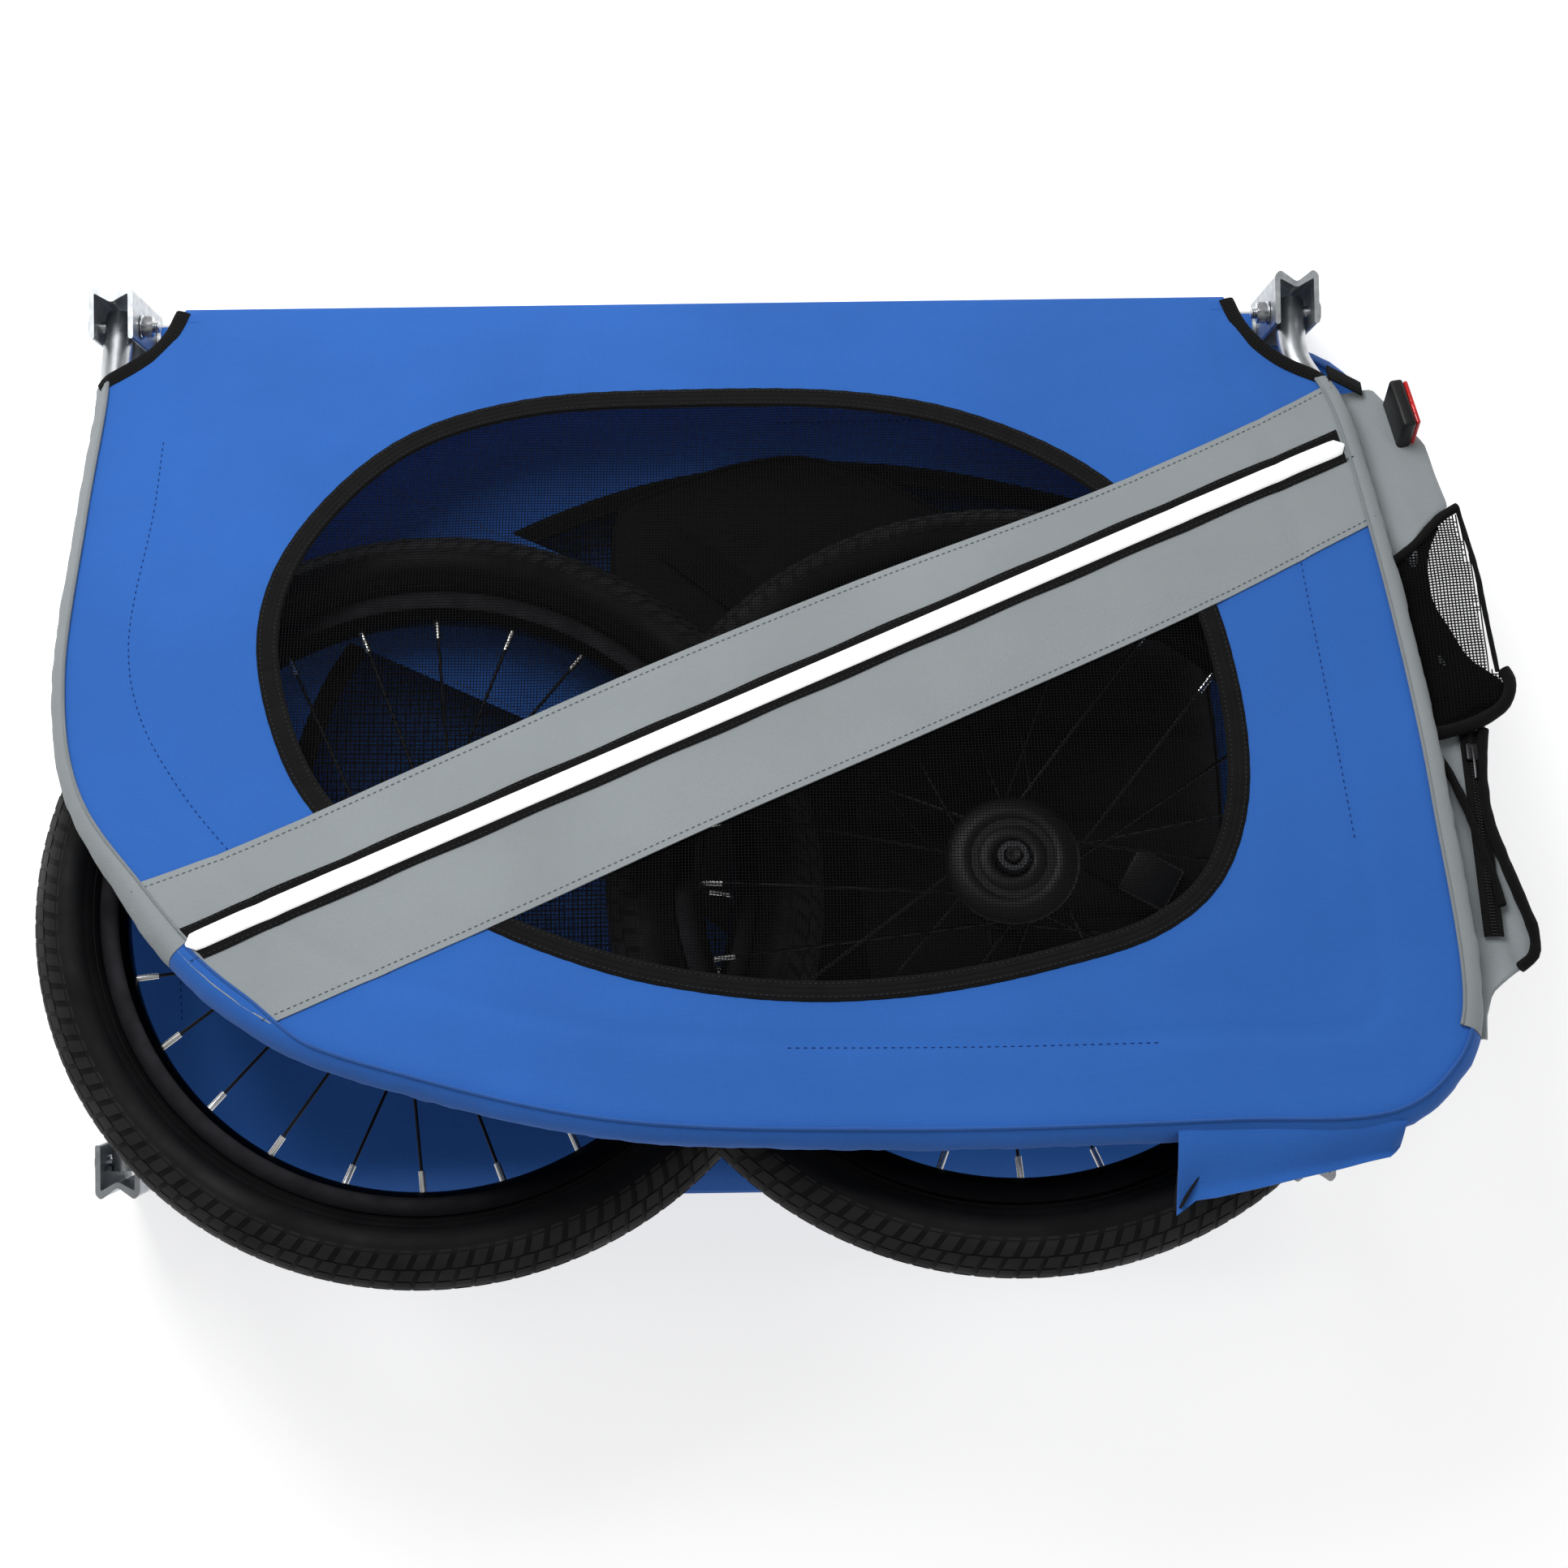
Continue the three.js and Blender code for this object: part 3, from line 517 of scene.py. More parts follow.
def new_finish(name, roughness, metallic=0.0, **sockets):
    """A new material with its node tree, shader and object coordinates."""
    material = bpy.data.materials.new(name)
    material.use_nodes = True
    tree = material.node_tree
    shader = tree.nodes["Principled BSDF"]
    shader.inputs["Roughness"].default_value = roughness
    shader.inputs["Metallic"].default_value = metallic
    for key, value in sockets.items():
        shader.inputs[key.replace("_", " ")].default_value = value
    return material, tree, shader, tree.nodes.new("ShaderNodeTexCoord").outputs["Object"]


def multiplied(tree, base, factor):
    """A colour, or a colour socket, times a grey socket."""
    mix = wire(tree, "ShaderNodeMix")
    mix.data_type, mix.blend_type = "RGBA", "MULTIPLY"
    mix.inputs[0].default_value = 1.0
    if isinstance(base, bpy.types.NodeSocket):
        tree.links.new(base, mix.inputs[6])
    else:
        mix.inputs[6].default_value = base
    tree.links.new(factor, mix.inputs[7])
    return mix.outputs[2]


def mottle(tree, shader, vector, size, low, high, base):
    """The shader's colour, varied in cloudy patches from low to high times its value."""
    cloud = wire(tree, "ShaderNodeTexNoise", Vector=vector, Scale=1 / size, Detail=4.0)
    span = wire(tree, "ShaderNodeMapRange", Value=cloud.outputs[0], From_Min=0.3, From_Max=0.7)
    span.inputs["To Min"].default_value, span.inputs["To Max"].default_value = low, high
    tree.links.new(multiplied(tree, base, span.outputs[0]), shader.inputs["Base Color"])


def grained(tree, shader, vector, texture, scale, distance, strength):
    """A fine grain pressed into the surface."""
    detail = {"Detail": 2.0} if texture == "Noise" else {}
    grain = wire(tree, f"ShaderNodeTex{texture}", Vector=vector, Scale=scale, **detail)
    bump(tree, shader, grain.outputs[0], distance, strength)


def patchy_shine(tree, shader, vector, scale, detail, roughness, spread):
    """Roughness that wanders by spread either way."""
    patch = wire(tree, "ShaderNodeTexNoise", Vector=vector, Scale=scale, Detail=detail)
    rough = wire(tree, "ShaderNodeMapRange", Value=patch.outputs[0], From_Min=0.3, From_Max=0.7,
                 To_Min=roughness - spread, To_Max=roughness + spread)
    tree.links.new(rough.outputs[0], shader.inputs["Roughness"])


def bump(tree, shader, height, distance, strength=1.0, under=None):
    node = wire(tree, "ShaderNodeBump", Height=height, Distance=distance, Strength=strength)
    if under is not None:
        tree.links.new(under, node.inputs["Normal"])
    tree.links.new(node.outputs[0], shader.inputs["Normal"])
    return node.outputs[0]


def threads(tree, vector, pitch, direction):
    wave = wire(tree, "ShaderNodeTexWave", Vector=vector, Scale=0.31416 / pitch, Distortion=0.0)
    wave.wave_type, wave.bands_direction, wave.wave_profile = "BANDS", direction, "SIN"
    return wave.outputs[1]


def math_node(tree, operation, a, b):
    node = tree.nodes.new("ShaderNodeMath")
    node.operation = operation
    for socket, value in zip(node.inputs, (a, b)):
        if isinstance(value, bpy.types.NodeSocket):
            tree.links.new(value, socket)
        else:
            socket.default_value = value
    return node.outputs[0]


def oxford(name, base, pitch=0.0009, roughness=0.82, patch=0.12, sheen=0.12):
    """Plain woven polyester: fine crossed threads with painted shade where they dip under each other, slubs
    and soft patches of tone.
    """
    material, tree, shader, place = new_finish(name, roughness, Sheen_Weight=sheen, Specular_IOR_Level=0.25)
    uv = tree.nodes.new("ShaderNodeUVMap").outputs[0]
    warp, weft = threads(tree, uv, pitch, "X"), threads(tree, uv, pitch, "Y")
    both = math_node(tree, "MULTIPLY", warp, weft)
    slub = wire(tree, "ShaderNodeTexNoise", Vector=uv, Scale=900.0, Detail=2.0)
    height = math_node(tree, "ADD", both, math_node(tree, "MULTIPLY", slub.outputs[0], 0.6))
    # Painted shade: the base colour goes darker where the threads dip and lighter on their crowns.
    weave_painted_shade = wire(tree, "ShaderNodeMapRange", Value=both, To_Min=0.82, To_Max=1.16)
    mottle(tree, shader, place, patch, 0.93, 1.06, multiplied(tree, base, weave_painted_shade.outputs[0]))
    soft = wire(tree, "ShaderNodeTexNoise", Vector=place, Scale=26.0, Detail=3.0)
    slack = bump(tree, shader, soft.outputs[0], 0.0012, 0.5)
    bump(tree, shader, height, 0.00022, 0.8, slack)
    return material


def webbing(name, base, rib=0.0022, roughness=0.8):
    """Ribbed woven tape: ribs along its length and a finer weft across."""
    material, tree, shader, place = new_finish(name, roughness, Sheen_Weight=0.02, Specular_IOR_Level=0.15)
    uv = tree.nodes.new("ShaderNodeUVMap").outputs[0]
    ribs, weft = threads(tree, uv, rib, "Y"), threads(tree, uv, 0.0012, "X")
    height = math_node(tree, "ADD", ribs, math_node(tree, "MULTIPLY", weft, 0.6))
    mottle(tree, shader, place, 0.02, 0.75, 1.25, base)
    bump(tree, shader, height, 0.0004, 0.8)
    return material


def plain_thread(name, base, roughness=0.6):
    material, tree, shader, place = new_finish(name, roughness, Specular_IOR_Level=0.15)
    mottle(tree, shader, place, 0.004, 0.8, 1.2, base)
    return material


def metal(name, base, roughness, grain=0.0006, streak=(1, 1, 1), spread=0.12, depth=0.00002):
    """Plated or drawn steel with a fine grain and patchy shine."""
    material, tree, shader, place = new_finish(name, roughness, 1.0)
    stretched = wire(tree, "ShaderNodeMapping", Vector=place, Scale=streak)
    mottle(tree, shader, stretched.outputs[0], 0.012, 0.86, 1.1, base)
    fine = wire(tree, "ShaderNodeTexNoise", Vector=stretched.outputs[0], Scale=1 / grain, Detail=3.0)
    patchy_shine(tree, shader, place, 60.0, 5.0, roughness, spread)
    bump(tree, shader, fine.outputs[0], depth, 0.6)
    return material


def galvanised(name):
    """Zinc-dipped steel sheet with its crystal spangle."""
    material, tree, shader, place = new_finish(name, 0.42, 1.0)
    spangle = wire(tree, "ShaderNodeTexVoronoi", Vector=place, Scale=220.0)
    tone = wire(tree, "ShaderNodeMapRange", Value=spangle.outputs[1], To_Min=0.9, To_Max=1.06)
    mottle(tree, shader, place, 0.01, 0.85, 1.08, multiplied(tree, colour(186, 190, 193), tone.outputs[0]))
    rough = wire(tree, "ShaderNodeMapRange", Value=spangle.outputs[0], To_Min=0.3, To_Max=0.52)
    tree.links.new(rough.outputs[0], shader.inputs["Roughness"])
    grained(tree, shader, place, "Noise", 1400.0, 0.00004, 0.7)
    return material


def rubber(name, base, roughness=0.62):
    """Moulded tyre rubber with a dusty bloom."""
    material, tree, shader, place = new_finish(name, roughness, Specular_IOR_Level=0.14)
    mottle(tree, shader, place, 0.03, 0.75, 1.35, base)
    patchy_shine(tree, shader, place, 25.0, 6.0, roughness, 0.12)
    grained(tree, shader, place, "Noise", 1800.0, 0.00008, 0.6)
    return material


def moulded(name, base, roughness=0.45):
    """Injection-moulded plastic with a fine spark-eroded grain."""
    material, tree, shader, place = new_finish(name, roughness, Specular_IOR_Level=0.35)
    mottle(tree, shader, place, 0.02, 0.85, 1.15, base)
    grained(tree, shader, place, "Voronoi", 1500.0, 0.00006, 0.5)
    return material


def reflective(name):
    """White retroreflective tape with a faint glass-bead grain and a painted glow from a weak white emission.
    """
    # The emission is a painted glow: the tape gives off a little white light of its own.
    material, tree, shader, place = new_finish(name, 0.32, Coat_Weight=0.4, Coat_Roughness=0.15,
                                               Emission_Strength=0.22, Emission_Color=(1, 1, 1, 1))
    mottle(tree, shader, place, 0.03, 0.96, 1.0, colour(246, 247, 248))
    grained(tree, shader, place, "Voronoi", 1600.0, 0.00003, 0.5)
    return material


def lens(name):
    """Clear red plastic over moulded prisms."""
    material, tree, shader, place = new_finish(name, 0.12, Coat_Weight=0.5, Coat_Roughness=0.05)
    mottle(tree, shader, place, 0.01, 0.7, 1.3, colour(200, 22, 20))
    grained(tree, shader, place, "Voronoi", 380.0, 0.0005, 0.6)
    return material


BLUE = oxford("Royal blue oxford cloth", colour(46, 108, 197))
GREY = oxford("Grey oxford cloth", colour(157, 164, 167))
BLACK_CLOTH = oxford("Black oxford cloth", colour(15, 15, 17), sheen=0.02)
SEAT_CLOTH = oxford("Black padded seat cloth", colour(13, 13, 15), pitch=0.0014, sheen=0.02)
BLACK_TAPE = webbing("Black woven tape", colour(13, 13, 14))
BLACK_WEB = webbing("Black seat webbing", colour(16, 16, 18), rib=0.003)
NET_YARN = plain_thread("Black net yarn", colour(10, 10, 11), 0.8)
BLUE_THREAD = plain_thread("Blue sewing thread", colour(22, 52, 118))
GREY_THREAD = plain_thread("Grey sewing thread", colour(84, 92, 96))
BLACK_THREAD = plain_thread("Black sewing thread", colour(46, 46, 48))
HOOP_STEEL = metal("Silver tube steel", colour(188, 191, 194), 0.34, streak=(1, 1, 0.3))
RAIL_STEEL = metal("Silver rail steel", colour(180, 183, 186), 0.38, streak=(0.2, 1, 1))
BRACKET_STEEL = galvanised("Galvanised bracket steel")
ZINC = metal("Bright zinc bolts", colour(205, 207, 210), 0.26, spread=0.08)
AXLE_STEEL = metal("Blackened axle steel", colour(74, 75, 78), 0.3, spread=0.06)
BEARING_STEEL = metal("Bearing steel", colour(170, 172, 176), 0.3)
RIM_BLACK = metal("Black anodised rim", colour(20, 20, 22), 0.4, spread=0.06)
SPOKE_BLACK = metal("Black spoke wire", colour(38, 38, 40), 0.36, spread=0.05)
NIPPLE = metal("Nickel spoke nipples", colour(214, 214, 212), 0.24, spread=0.05)
TYRE_RUBBER = rubber("Black tyre rubber", colour(12, 12, 13))
# Lighter than the carcass rubber as a painted highlight on the block tops, against the dark grooves.
TREAD_RUBBER_PAINTED_HIGHLIGHT = rubber("Dusty tread rubber", colour(34, 34, 35))
TUBE_RUBBER = rubber("Black butyl", colour(24, 24, 26), 0.5)
PLASTIC = moulded("Black moulded plastic", colour(16, 16, 17))
REFLECTIVE_PAINTED_GLOW = reflective("White reflective tape")
RED_LENS = lens("Red reflector lens")
ZIP_METAL = metal("Zip slider metal", colour(60, 60, 62), 0.36)


# ---- a side frame's own drawing ------------------------------------------------------------------
class Side:
    def __init__(self, name, body, height, slope, sign):
        self.name, self.body, self.height = name, body, height
        y, z = bolt_line(f"{name}_front_pivot_bolt")
        self.place = tilted((BASE_X, y, z), slope, sign)
        self.share = height / DRAWN_HEIGHT
        self.hinge_edge = -4.0 if name == "right" else -25.0  # the left cloth hangs a little past its pivots
        f, X = self.share, BRACKET_X
        self.hoop = spline([
            (-X, -7), (-X, 0), (-X, 34), (-X + 1, 60 * f), (-X - 5, 154 * f), (-X - 9, 275 * f),
            (-X + 4, 345 * f), (-X + 40, 408 * f), (-X + 79, 461 * f), (-X + 142, 509 * f),
            (-X + 212, 535 * f), (-58, 564 * f), (106, height), (X - 88, 570 * f), (X + 12, 565 * f),
            (X + 44, 540 * f), (X + 58, 510 * f), (X + 55, 372 * f), (X + 49, 290 * f), (X + 35, 173 * f),
            (X + 18, 78 * f), (X, 36), (X, 0), (X, -7)], 6)
        self.window = even(spline(self.graded(WINDOW), 5, True), 5, True)
        if self.turn(self.window) > 0:
            self.window = self.window[::-1]  # its left is outwards

    def graded(self, points):
        return [(x, v * self.share) for x, v in points]

    @staticmethod
    def turn(loop):
        x, y = np.array(loop).T
        return (x * np.roll(y, -1) - y * np.roll(x, -1)).sum()

    def over(self, points, lift):
        """Lays flat-cut points over the frame, lift above the tubes, round the outer tube past its line."""
        p = np.array(points, float)[:, :2]
        e, foot, out = nearest(self.hoop, p)
        r = TUBE_R + np.broadcast_to(np.asarray(lift, float), (len(p),))
        round_it = (e > 0) & (p[:, 1] > 20)
        angle = np.where(round_it, e / r, 0)
        flat = np.where(round_it[:, None], foot + out * (r * np.sin(angle))[:, None], p)
        drop = np.clip(-p[:, 1], 0, 60) ** 2 / 42
        return self.place(np.column_stack([flat, np.where(round_it, r * np.cos(angle), r - drop)]))

    def along_hoop(self, v_front, v_rear):
        """The part of the hoop line from v_front on its front leg round to v_rear on its rear leg."""
        h = self.hoop
        start = next(i for i in range(len(h)) if h[i][1] >= v_front)
        stop = max(i for i in range(len(h)) if h[i][1] >= v_rear)
        return h[start:stop + 1]

    def relief(self, points):
        """How far the panel's cloth stands above its tightest lie, in millimetres."""
        p = np.array(points, float)[:, :2]
        e = nearest(self.hoop, p)[0]
        puff = 0.9 * ease(-e, 8, 40) + 0.5 * ease(-e, 60, 120)
        seam = np.exp(-(((e + 50) / 5) ** 2)) * 0.8
        soft = 0.55 * (1 + ripple(p, 95, 1)) * 0.5 + 0.35 * (1 + ripple(p, 33, 2)) * 0.5
        edge = ease(p[:, 1], 2, 18)
        drag = 0.5 * np.abs(ripple(np.column_stack([p[:, 0] * 0.35 + p[:, 1], p[:, 1] * 0.3]), 60, 3))
        near_window = ease(nearest(self.window, p, True)[0], 0, 25)
        return np.maximum(puff - seam, 0) * (0.4 + 0.6 * near_window) + (soft + drag) * edge


right = Side("right", "right_side", DRAWN_HEIGHT, RIGHT_SLOPE, -1)
left = Side("left", "base", LEFT_HEIGHT, LEFT_SLOPE, 1)


# ---- side cloth ----------------------------------------------------------------------------------
SEAM_OUT = 4.0  # the side panel's seam, past the tube's line
FRONT_SEAM = (-325, 465)  # grey edge cloth meets blue at the front of the roof
REAR_SEAM = (452, 520)
SCOOP_FRONT = [(-398, 52), (-384, 43), (-370, 33), (-360, 24), (-353, 13), (-347, -1)]
SCOOP_REAR = [(347, -1), (353, 14), (361, 27), (370, 37), (381, 46), (408, 60)]


def scoop(side, line):
    """The cut-out's curve, its hinge end moved to the side's own edge."""
    return [(x, side.hinge_edge if v < 0 else v) for x, v in line]


def panel_outline(side):
    edge = side.along_hoop(56, 62)
    edge = edge + normals(edge) * SEAM_OUT
    hinge = np.column_stack([np.linspace(-342, 342, 130), np.full(130, side.hinge_edge)])
    return np.vstack([even(spline(scoop(side, SCOOP_REAR), 4), 4.5), edge[::-1],
                      even(spline(scoop(side, SCOOP_FRONT), 4), 4.5), hinge])


def flat_area(spots, faces):
    a, b, c = (np.array(spots)[faces[:, i]] * MM for i in range(3))
    return float(np.abs((b - a)[:, 0] * (c - a)[:, 1] - (b - a)[:, 1] * (c - a)[:, 0]).sum() / 2)


def side_panel(side):
    hole = side.window - normals(side.window, True) * BINDING * 0.6
    spots, faces = cut_cloth(panel_outline(side), hole, 5.5 if side.name == "right" else 8)
    points = side.over(spots, LIFT + side.relief(spots))
    cloth = mesh_object(f"{side.name}_blue_side_cloth", points, faces, uv=spots * MM)
    thicken(cloth, CLOTH)
    fit(cloth, side.body, BLUE, "blue_oxford", f"{side.name}_side_panel")
    tuple(np.ptp(spots, axis=0) * MM)
    flat_area(spots, faces)


def chords(loop, pitch, first, margin, least):
    """Straight runs across a loop both ways: the axis, the level on it and the points inside the loop."""
    low, high = loop.min(0), loop.max(0)
    for axis in (0, 1):
        other = 1 - axis
        for level in np.arange(low[axis] + first, high[axis], pitch):
            t = np.arange(low[other] - margin, high[other] + margin, 1.0)
            p = np.empty((len(t), 2))
            p[:, axis], p[:, other] = level, t
            keep = np.flatnonzero(inside(loop, p))
            if len(keep) >= least:
                yield axis, level, p[keep[0]:keep[-1] + 1]


def window_net(side):
    """Crossed yarns, each cut where it passes under the binding."""
    loop = side.window - normals(side.window, True) * (BINDING * 0.45)
    pitch = 2.0 if side.name == "right" else 3.0
    lines = []
    for axis, level, run in chords(loop, pitch, pitch, 2, 6):
        start, stop = run[0, 1 - axis], run[-1, 1 - axis]
        q = np.empty((max(3, round((stop - start) / 26)), 2))
        q[:, axis], q[:, 1 - axis] = level, np.linspace(start, stop, len(q))
        depth = LIFT + 0.9 + 0.5 * np.sin(q[:, 0] / 70) * np.cos(q[:, 1] / 55) + 0.1 * axis
        q[:, axis] += 0.5 * np.sin(q[:, 1 - axis] / 23 + level / 40)
        lines.append(side.over(q, depth))
    net = grow(lines_object(f"{side.name}_net", lines), THREADS, Radius=0.00016 * pitch, Sides=3,
               Material=NET_YARN)
    fit(net, side.body, NET_YARN, "black_net", f"{side.name}_window_net", sharp=180, closed=False)
    float(abs(side.turn(loop)) / 2 * MM * MM)


def window_binding(side):
    """The woven tape folded over the window's edge, a little gathered on its bends."""
    loop = side.window
    out = normals(loop, True)
    pucker = 0.25 * np.sin(np.arange(len(loop)) * 2.1)
    rows = [side.over(loop + out * d, LIFT + lift + (pucker if lift > 1 else 0))
            for d, lift in ((0.8, 0.7), (0.2, 2.0), (-2.5, 2.5), (-5.5, 2.2), (-8.5, 2.5),
                            (-BINDING + 0.2, 2.3), (-BINDING - 0.6, 0.9))]
    ribbon(f"{side.name}_binding", rows, 0.9, side.body, BLACK_TAPE, "black_webbing",
           f"{side.name}_window_binding", closed=True,
           uv=[(j * 0.005, i * 0.002) for i in range(len(rows)) for j in range(len(loop))])
    rows = [side.over(loop + out * d, LIFT + 2.95) for d in (-1.6, -BINDING + 1.6)]
    sew(f"{side.name}_binding_stitches", rows, side.body, BLACK_THREAD, 0.0034, TAPE_STITCH, closed=True)


def band_lift(side, p):
    """The grey band rides over the panel, the binding and the net."""
    gap = nearest(side.window, p, True)[0]
    return LIFT + side.relief(p) * ease(gap, 0, 15) + 1.3 + 1.7 * (1 - ease(gap, 0, 14))


def to_seam(side, line, count, past=SEAM_OUT):
    """The part of a line that lies within the panel's seam, lengthened first at both ends."""
    line = np.array(line, float)
    a, b = line[0] + (line[0] - line[1]) * 12, line[-1] + (line[-1] - line[-2]) * 12
    line = even(np.vstack([a, line, b]), 1.0)
    keep = np.flatnonzero(nearest(side.hoop, line)[0] < past)
    part = line[keep[0]:keep[-1] + 1]
    t = np.linspace(0, len(part) - 1, count)
    return np.column_stack([np.interp(t, np.arange(len(part)), part[:, j]) for j in (0, 1)])


def band_rows(side, count=14, trim=0.0):
    """Lines along the band, from its upper edge to its lower one."""
    k = 150
    share = np.linspace(0, 1, k)
    pick = lambda line: np.column_stack([np.interp(share, np.linspace(0, 1, len(line)), line[:, j])
                                         for j in (0, 1)])
    top, foot = (pick(even(spline(side.graded(edge), 8), 6)) for edge in (BAND_TOP, BAND_FOOT))
    return [to_seam(side, top + (foot - top) * t, k) for t in np.linspace(trim, 1 - trim, count)]


def grey_band(side):
    flat = band_rows(side)
    rows = [side.over(r, band_lift(side, r)) for r in flat]
    uv = [(p[0] * MM * 0.9 + p[1] * MM * -0.42, p[1] * MM * 0.9 + p[0] * MM * 0.42) for r in flat for p in r]
    finish, slot = (GREY, "grey_oxford") if side.name == "right" else (BLUE, "blue_oxford")
    band = ribbon(f"{side.name}_cloth_band", rows, 1.0, side.body, finish, slot, f"{side.name}_grey_band",
                  uv=uv)
    edges = [band_rows(side, 3, 0.035)[i] for i in (0, 2)]
    sew(f"{side.name}_band_stitches", [side.over(row, band_lift(side, row) + 0.65) for row in edges],
        side.body, GREY_THREAD, 0.0040, (0.0014, 0.0004, 0.0003))


def left_of(a, b):
    """The unit direction to the left of the way from a to b."""
    way = (b - a) / np.linalg.norm(b - a)
    return np.array([-way[1], way[0]])


def black_tape():
    a, b = np.array(STRIP, float)
    side_way = left_of(a, b)
    t = np.linspace(0, 1, 160)[:, None]
    middle = a + (b - a) * t
    rows = []
    for d in np.linspace(-TAPE_WIDTH / 2, TAPE_WIDTH / 2, 7):
        p = to_seam(right, middle + side_way * d + side_way * (0.35 * np.sin(t * 61)), 170, -4)
        rows.append(right.over(p, band_lift(right, p) + 0.95))
    ribbon("black_tape_under_strip", rows, 0.8, "right_side", BLACK_TAPE, "black_webbing", "right_black_tape")
    lines = []
    for d in (-TAPE_WIDTH / 2 + 1.6, TAPE_WIDTH / 2 - 1.6):
        p = middle + side_way * d
        lines.append(right.over(p, band_lift(right, p) + 1.5))
    sew("tape_stitches", lines, "right_side", BLACK_THREAD, 0.0036, TAPE_STITCH)


def reflective_strip():
    """A soft rounded strip, closed at both ends."""
    a, b = np.array(STRIP, float)
    half = STRIP_WIDTH / 2
    t = np.linspace(0, 1, 170)
    length = np.linalg.norm(b - a)
    end = np.minimum(t, 1 - t) * length
    plump = np.sqrt(np.clip(1 - (1 - np.clip(end / 7, 0, 1)) ** 2, 0.02, 1))
    rows = []
    for angle in np.linspace(math.pi, -math.pi, 19)[:-1]:
        d = half * math.cos(angle) * plump
        rise = (1.6 * math.sin(angle) if angle >= 0 else 0.25 * math.sin(angle)) * plump
        p = a + np.outer(t, b - a) + left_of(a, b) * d[:, None]
        rows.append(right.over(p, band_lift(right, p) + 1.7 + rise))
    count, k = len(rows), len(t)
    faces = quads(count, k, around=False, loop=True)
    faces += [tuple(i * k for i in range(count)), tuple(i * k + k - 1 for i in range(count))]
    uv = [(s, i * 0.002) for i in range(count) for s in t]
    strip = mesh_object("white_reflective_strip", np.vstack(rows), faces, uv=uv)
    # The strip's finish carries a painted glow from its emission.
    fit(strip, "right_side", REFLECTIVE_PAINTED_GLOW, "reflective_tape", "right_reflective_strip", sharp=60)


def stitch_lines(side):
    marks = [
        [(-350, 100), (-352, 149), (-361, 248), (-350, 300), (-319, 355), (-264, 423)],
        [(373, 150), (376, 202), (384, 300), (391, 393)],
        [(47, 526), (150, 527), (262, 526)],
    ]
    lines = []
    for mark in marks:
        p = even(spline(side.graded(mark), 6), 5)
        lines.append(side.over(p, LIFT + side.relief(p) + 0.7))
    sew(f"{side.name}_panel_stitches", lines, side.body, BLUE_THREAD, 0.0046, (0.0014, 0.00045, 0.00035))


def hoop_part(side, start, stop, step=5):
    """The run of the hoop line between the points of it nearest two drawn places."""
    run = even(side.along_hoop(50, 54), 2)
    spot = lambda q: int(((run - np.array(side.graded([q])[0])) ** 2).sum(1).argmin())
    return even(run[spot(start):spot(stop) + 1], step)


def gusset(side, label, start, stop, material, slot="grey_oxford", seams=(SEAM_OUT, SEAM_OUT), over=0.0,
           moves=(0.72, 1)):
    """The cloth that wraps the outside of a tube between two places along the hoop.

    Its seam lies seams[0] past the tube's line and moves to seams[1] between the two shares of the run in
    moves; over is how far its sewn edge stands on the panel."""
    run = hoop_part(side, start, stop)
    out, along = normals(run), np.linspace(0, 1, len(run))
    seam = seams[0] + (seams[1] - seams[0]) * ease(along, *moves)
    rows = []
    for t in np.linspace(0, 1, 13):
        d = seam + (WRAP - seam) * t
        p = run + out * d[:, None]
        soft = (0.6 + 0.8 * ripple(p, 24, 5) + 0.8 * ripple(p, 9, 6)) * ease(t, 0.1, 0.5)
        rows.append(side.over(p, LIFT + 0.25 + over * (1 - ease(d, 0, 15)) + soft))
    cloth = ribbon(f"{side.name}_{label}_edge_cloth", rows, 1.0, side.body, material, slot)
    cord_line = side.over(run + out * (seam + 0.8)[:, None], LIFT + 0.7 + over)
    cord(f"{side.name}_{label}_piping", cord_line, 1.1, side.body, material, slot)


def scoop_binding(side):
    """Black tape over the cut-outs that clear the brackets."""
    for end, line in (("front", SCOOP_FRONT), ("rear", SCOOP_REAR)):
        p = even(spline(scoop(side, line), 4), 4)
        out = normals(p)
        rows = []
        for d, lift in ((8.0, 1.5), (4.0, 2.2), (0.2, 2.0), (-1.6, 0.8), (-1.4, -1.2), (1.5, -2.2)):
            rows.append(side.over(p + out * d, LIFT + lift))
        ribbon(f"{side.name}_{end}_scoop_binding", rows, 0.9, side.body, BLACK_TAPE, "black_webbing")


def hinge_hem(side):
    """The turned edge along the fold line."""
    x = np.linspace(-343, 343, 140)
    rows = []
    for v, lift in ((9, 0.7), (4, 0.8), (0, 0.7), (-1.8, 0.1), (-2.0, -1.2), (0, -2.2), (10, -2.0)):
        rows.append(side.over(np.column_stack([x, np.full(140, v + side.hinge_edge)]), LIFT + lift))
    ribbon(f"{side.name}_hinge_hem", rows, 0.9, side.body, BLUE, "blue_oxford")


def hoop(side):
    line = side.place(np.column_stack([side.hoop, np.zeros(len(side.hoop))]))
    bar = pipe(f"{side.name}_side_tube", line, TUBE_R, TUBE_WALL, 28)
    fit(bar, side.body, HOOP_STEEL, "hoop_steel", f"{side.name}_hoop")


def side_frame(side):
    hoop(side)
    side_panel(side)
    window_net(side)
    window_binding(side)
    grey_band(side)
    stitch_lines(side)
    scoop_binding(side)
    hinge_hem(side)
    gusset(side, "front", (-397, 50), FRONT_SEAM, GREY, seams=(1.5, -6), over=2.4)
    gusset(side, "roof", FRONT_SEAM, REAR_SEAM, BLUE, "blue_oxford", (-3, SEAM_OUT), 1.8, (0.06, 0.13))
    gusset(side, "rear", REAR_SEAM, (412, 54), GREY, seams=(-2.5, -2.5), over=2.4)


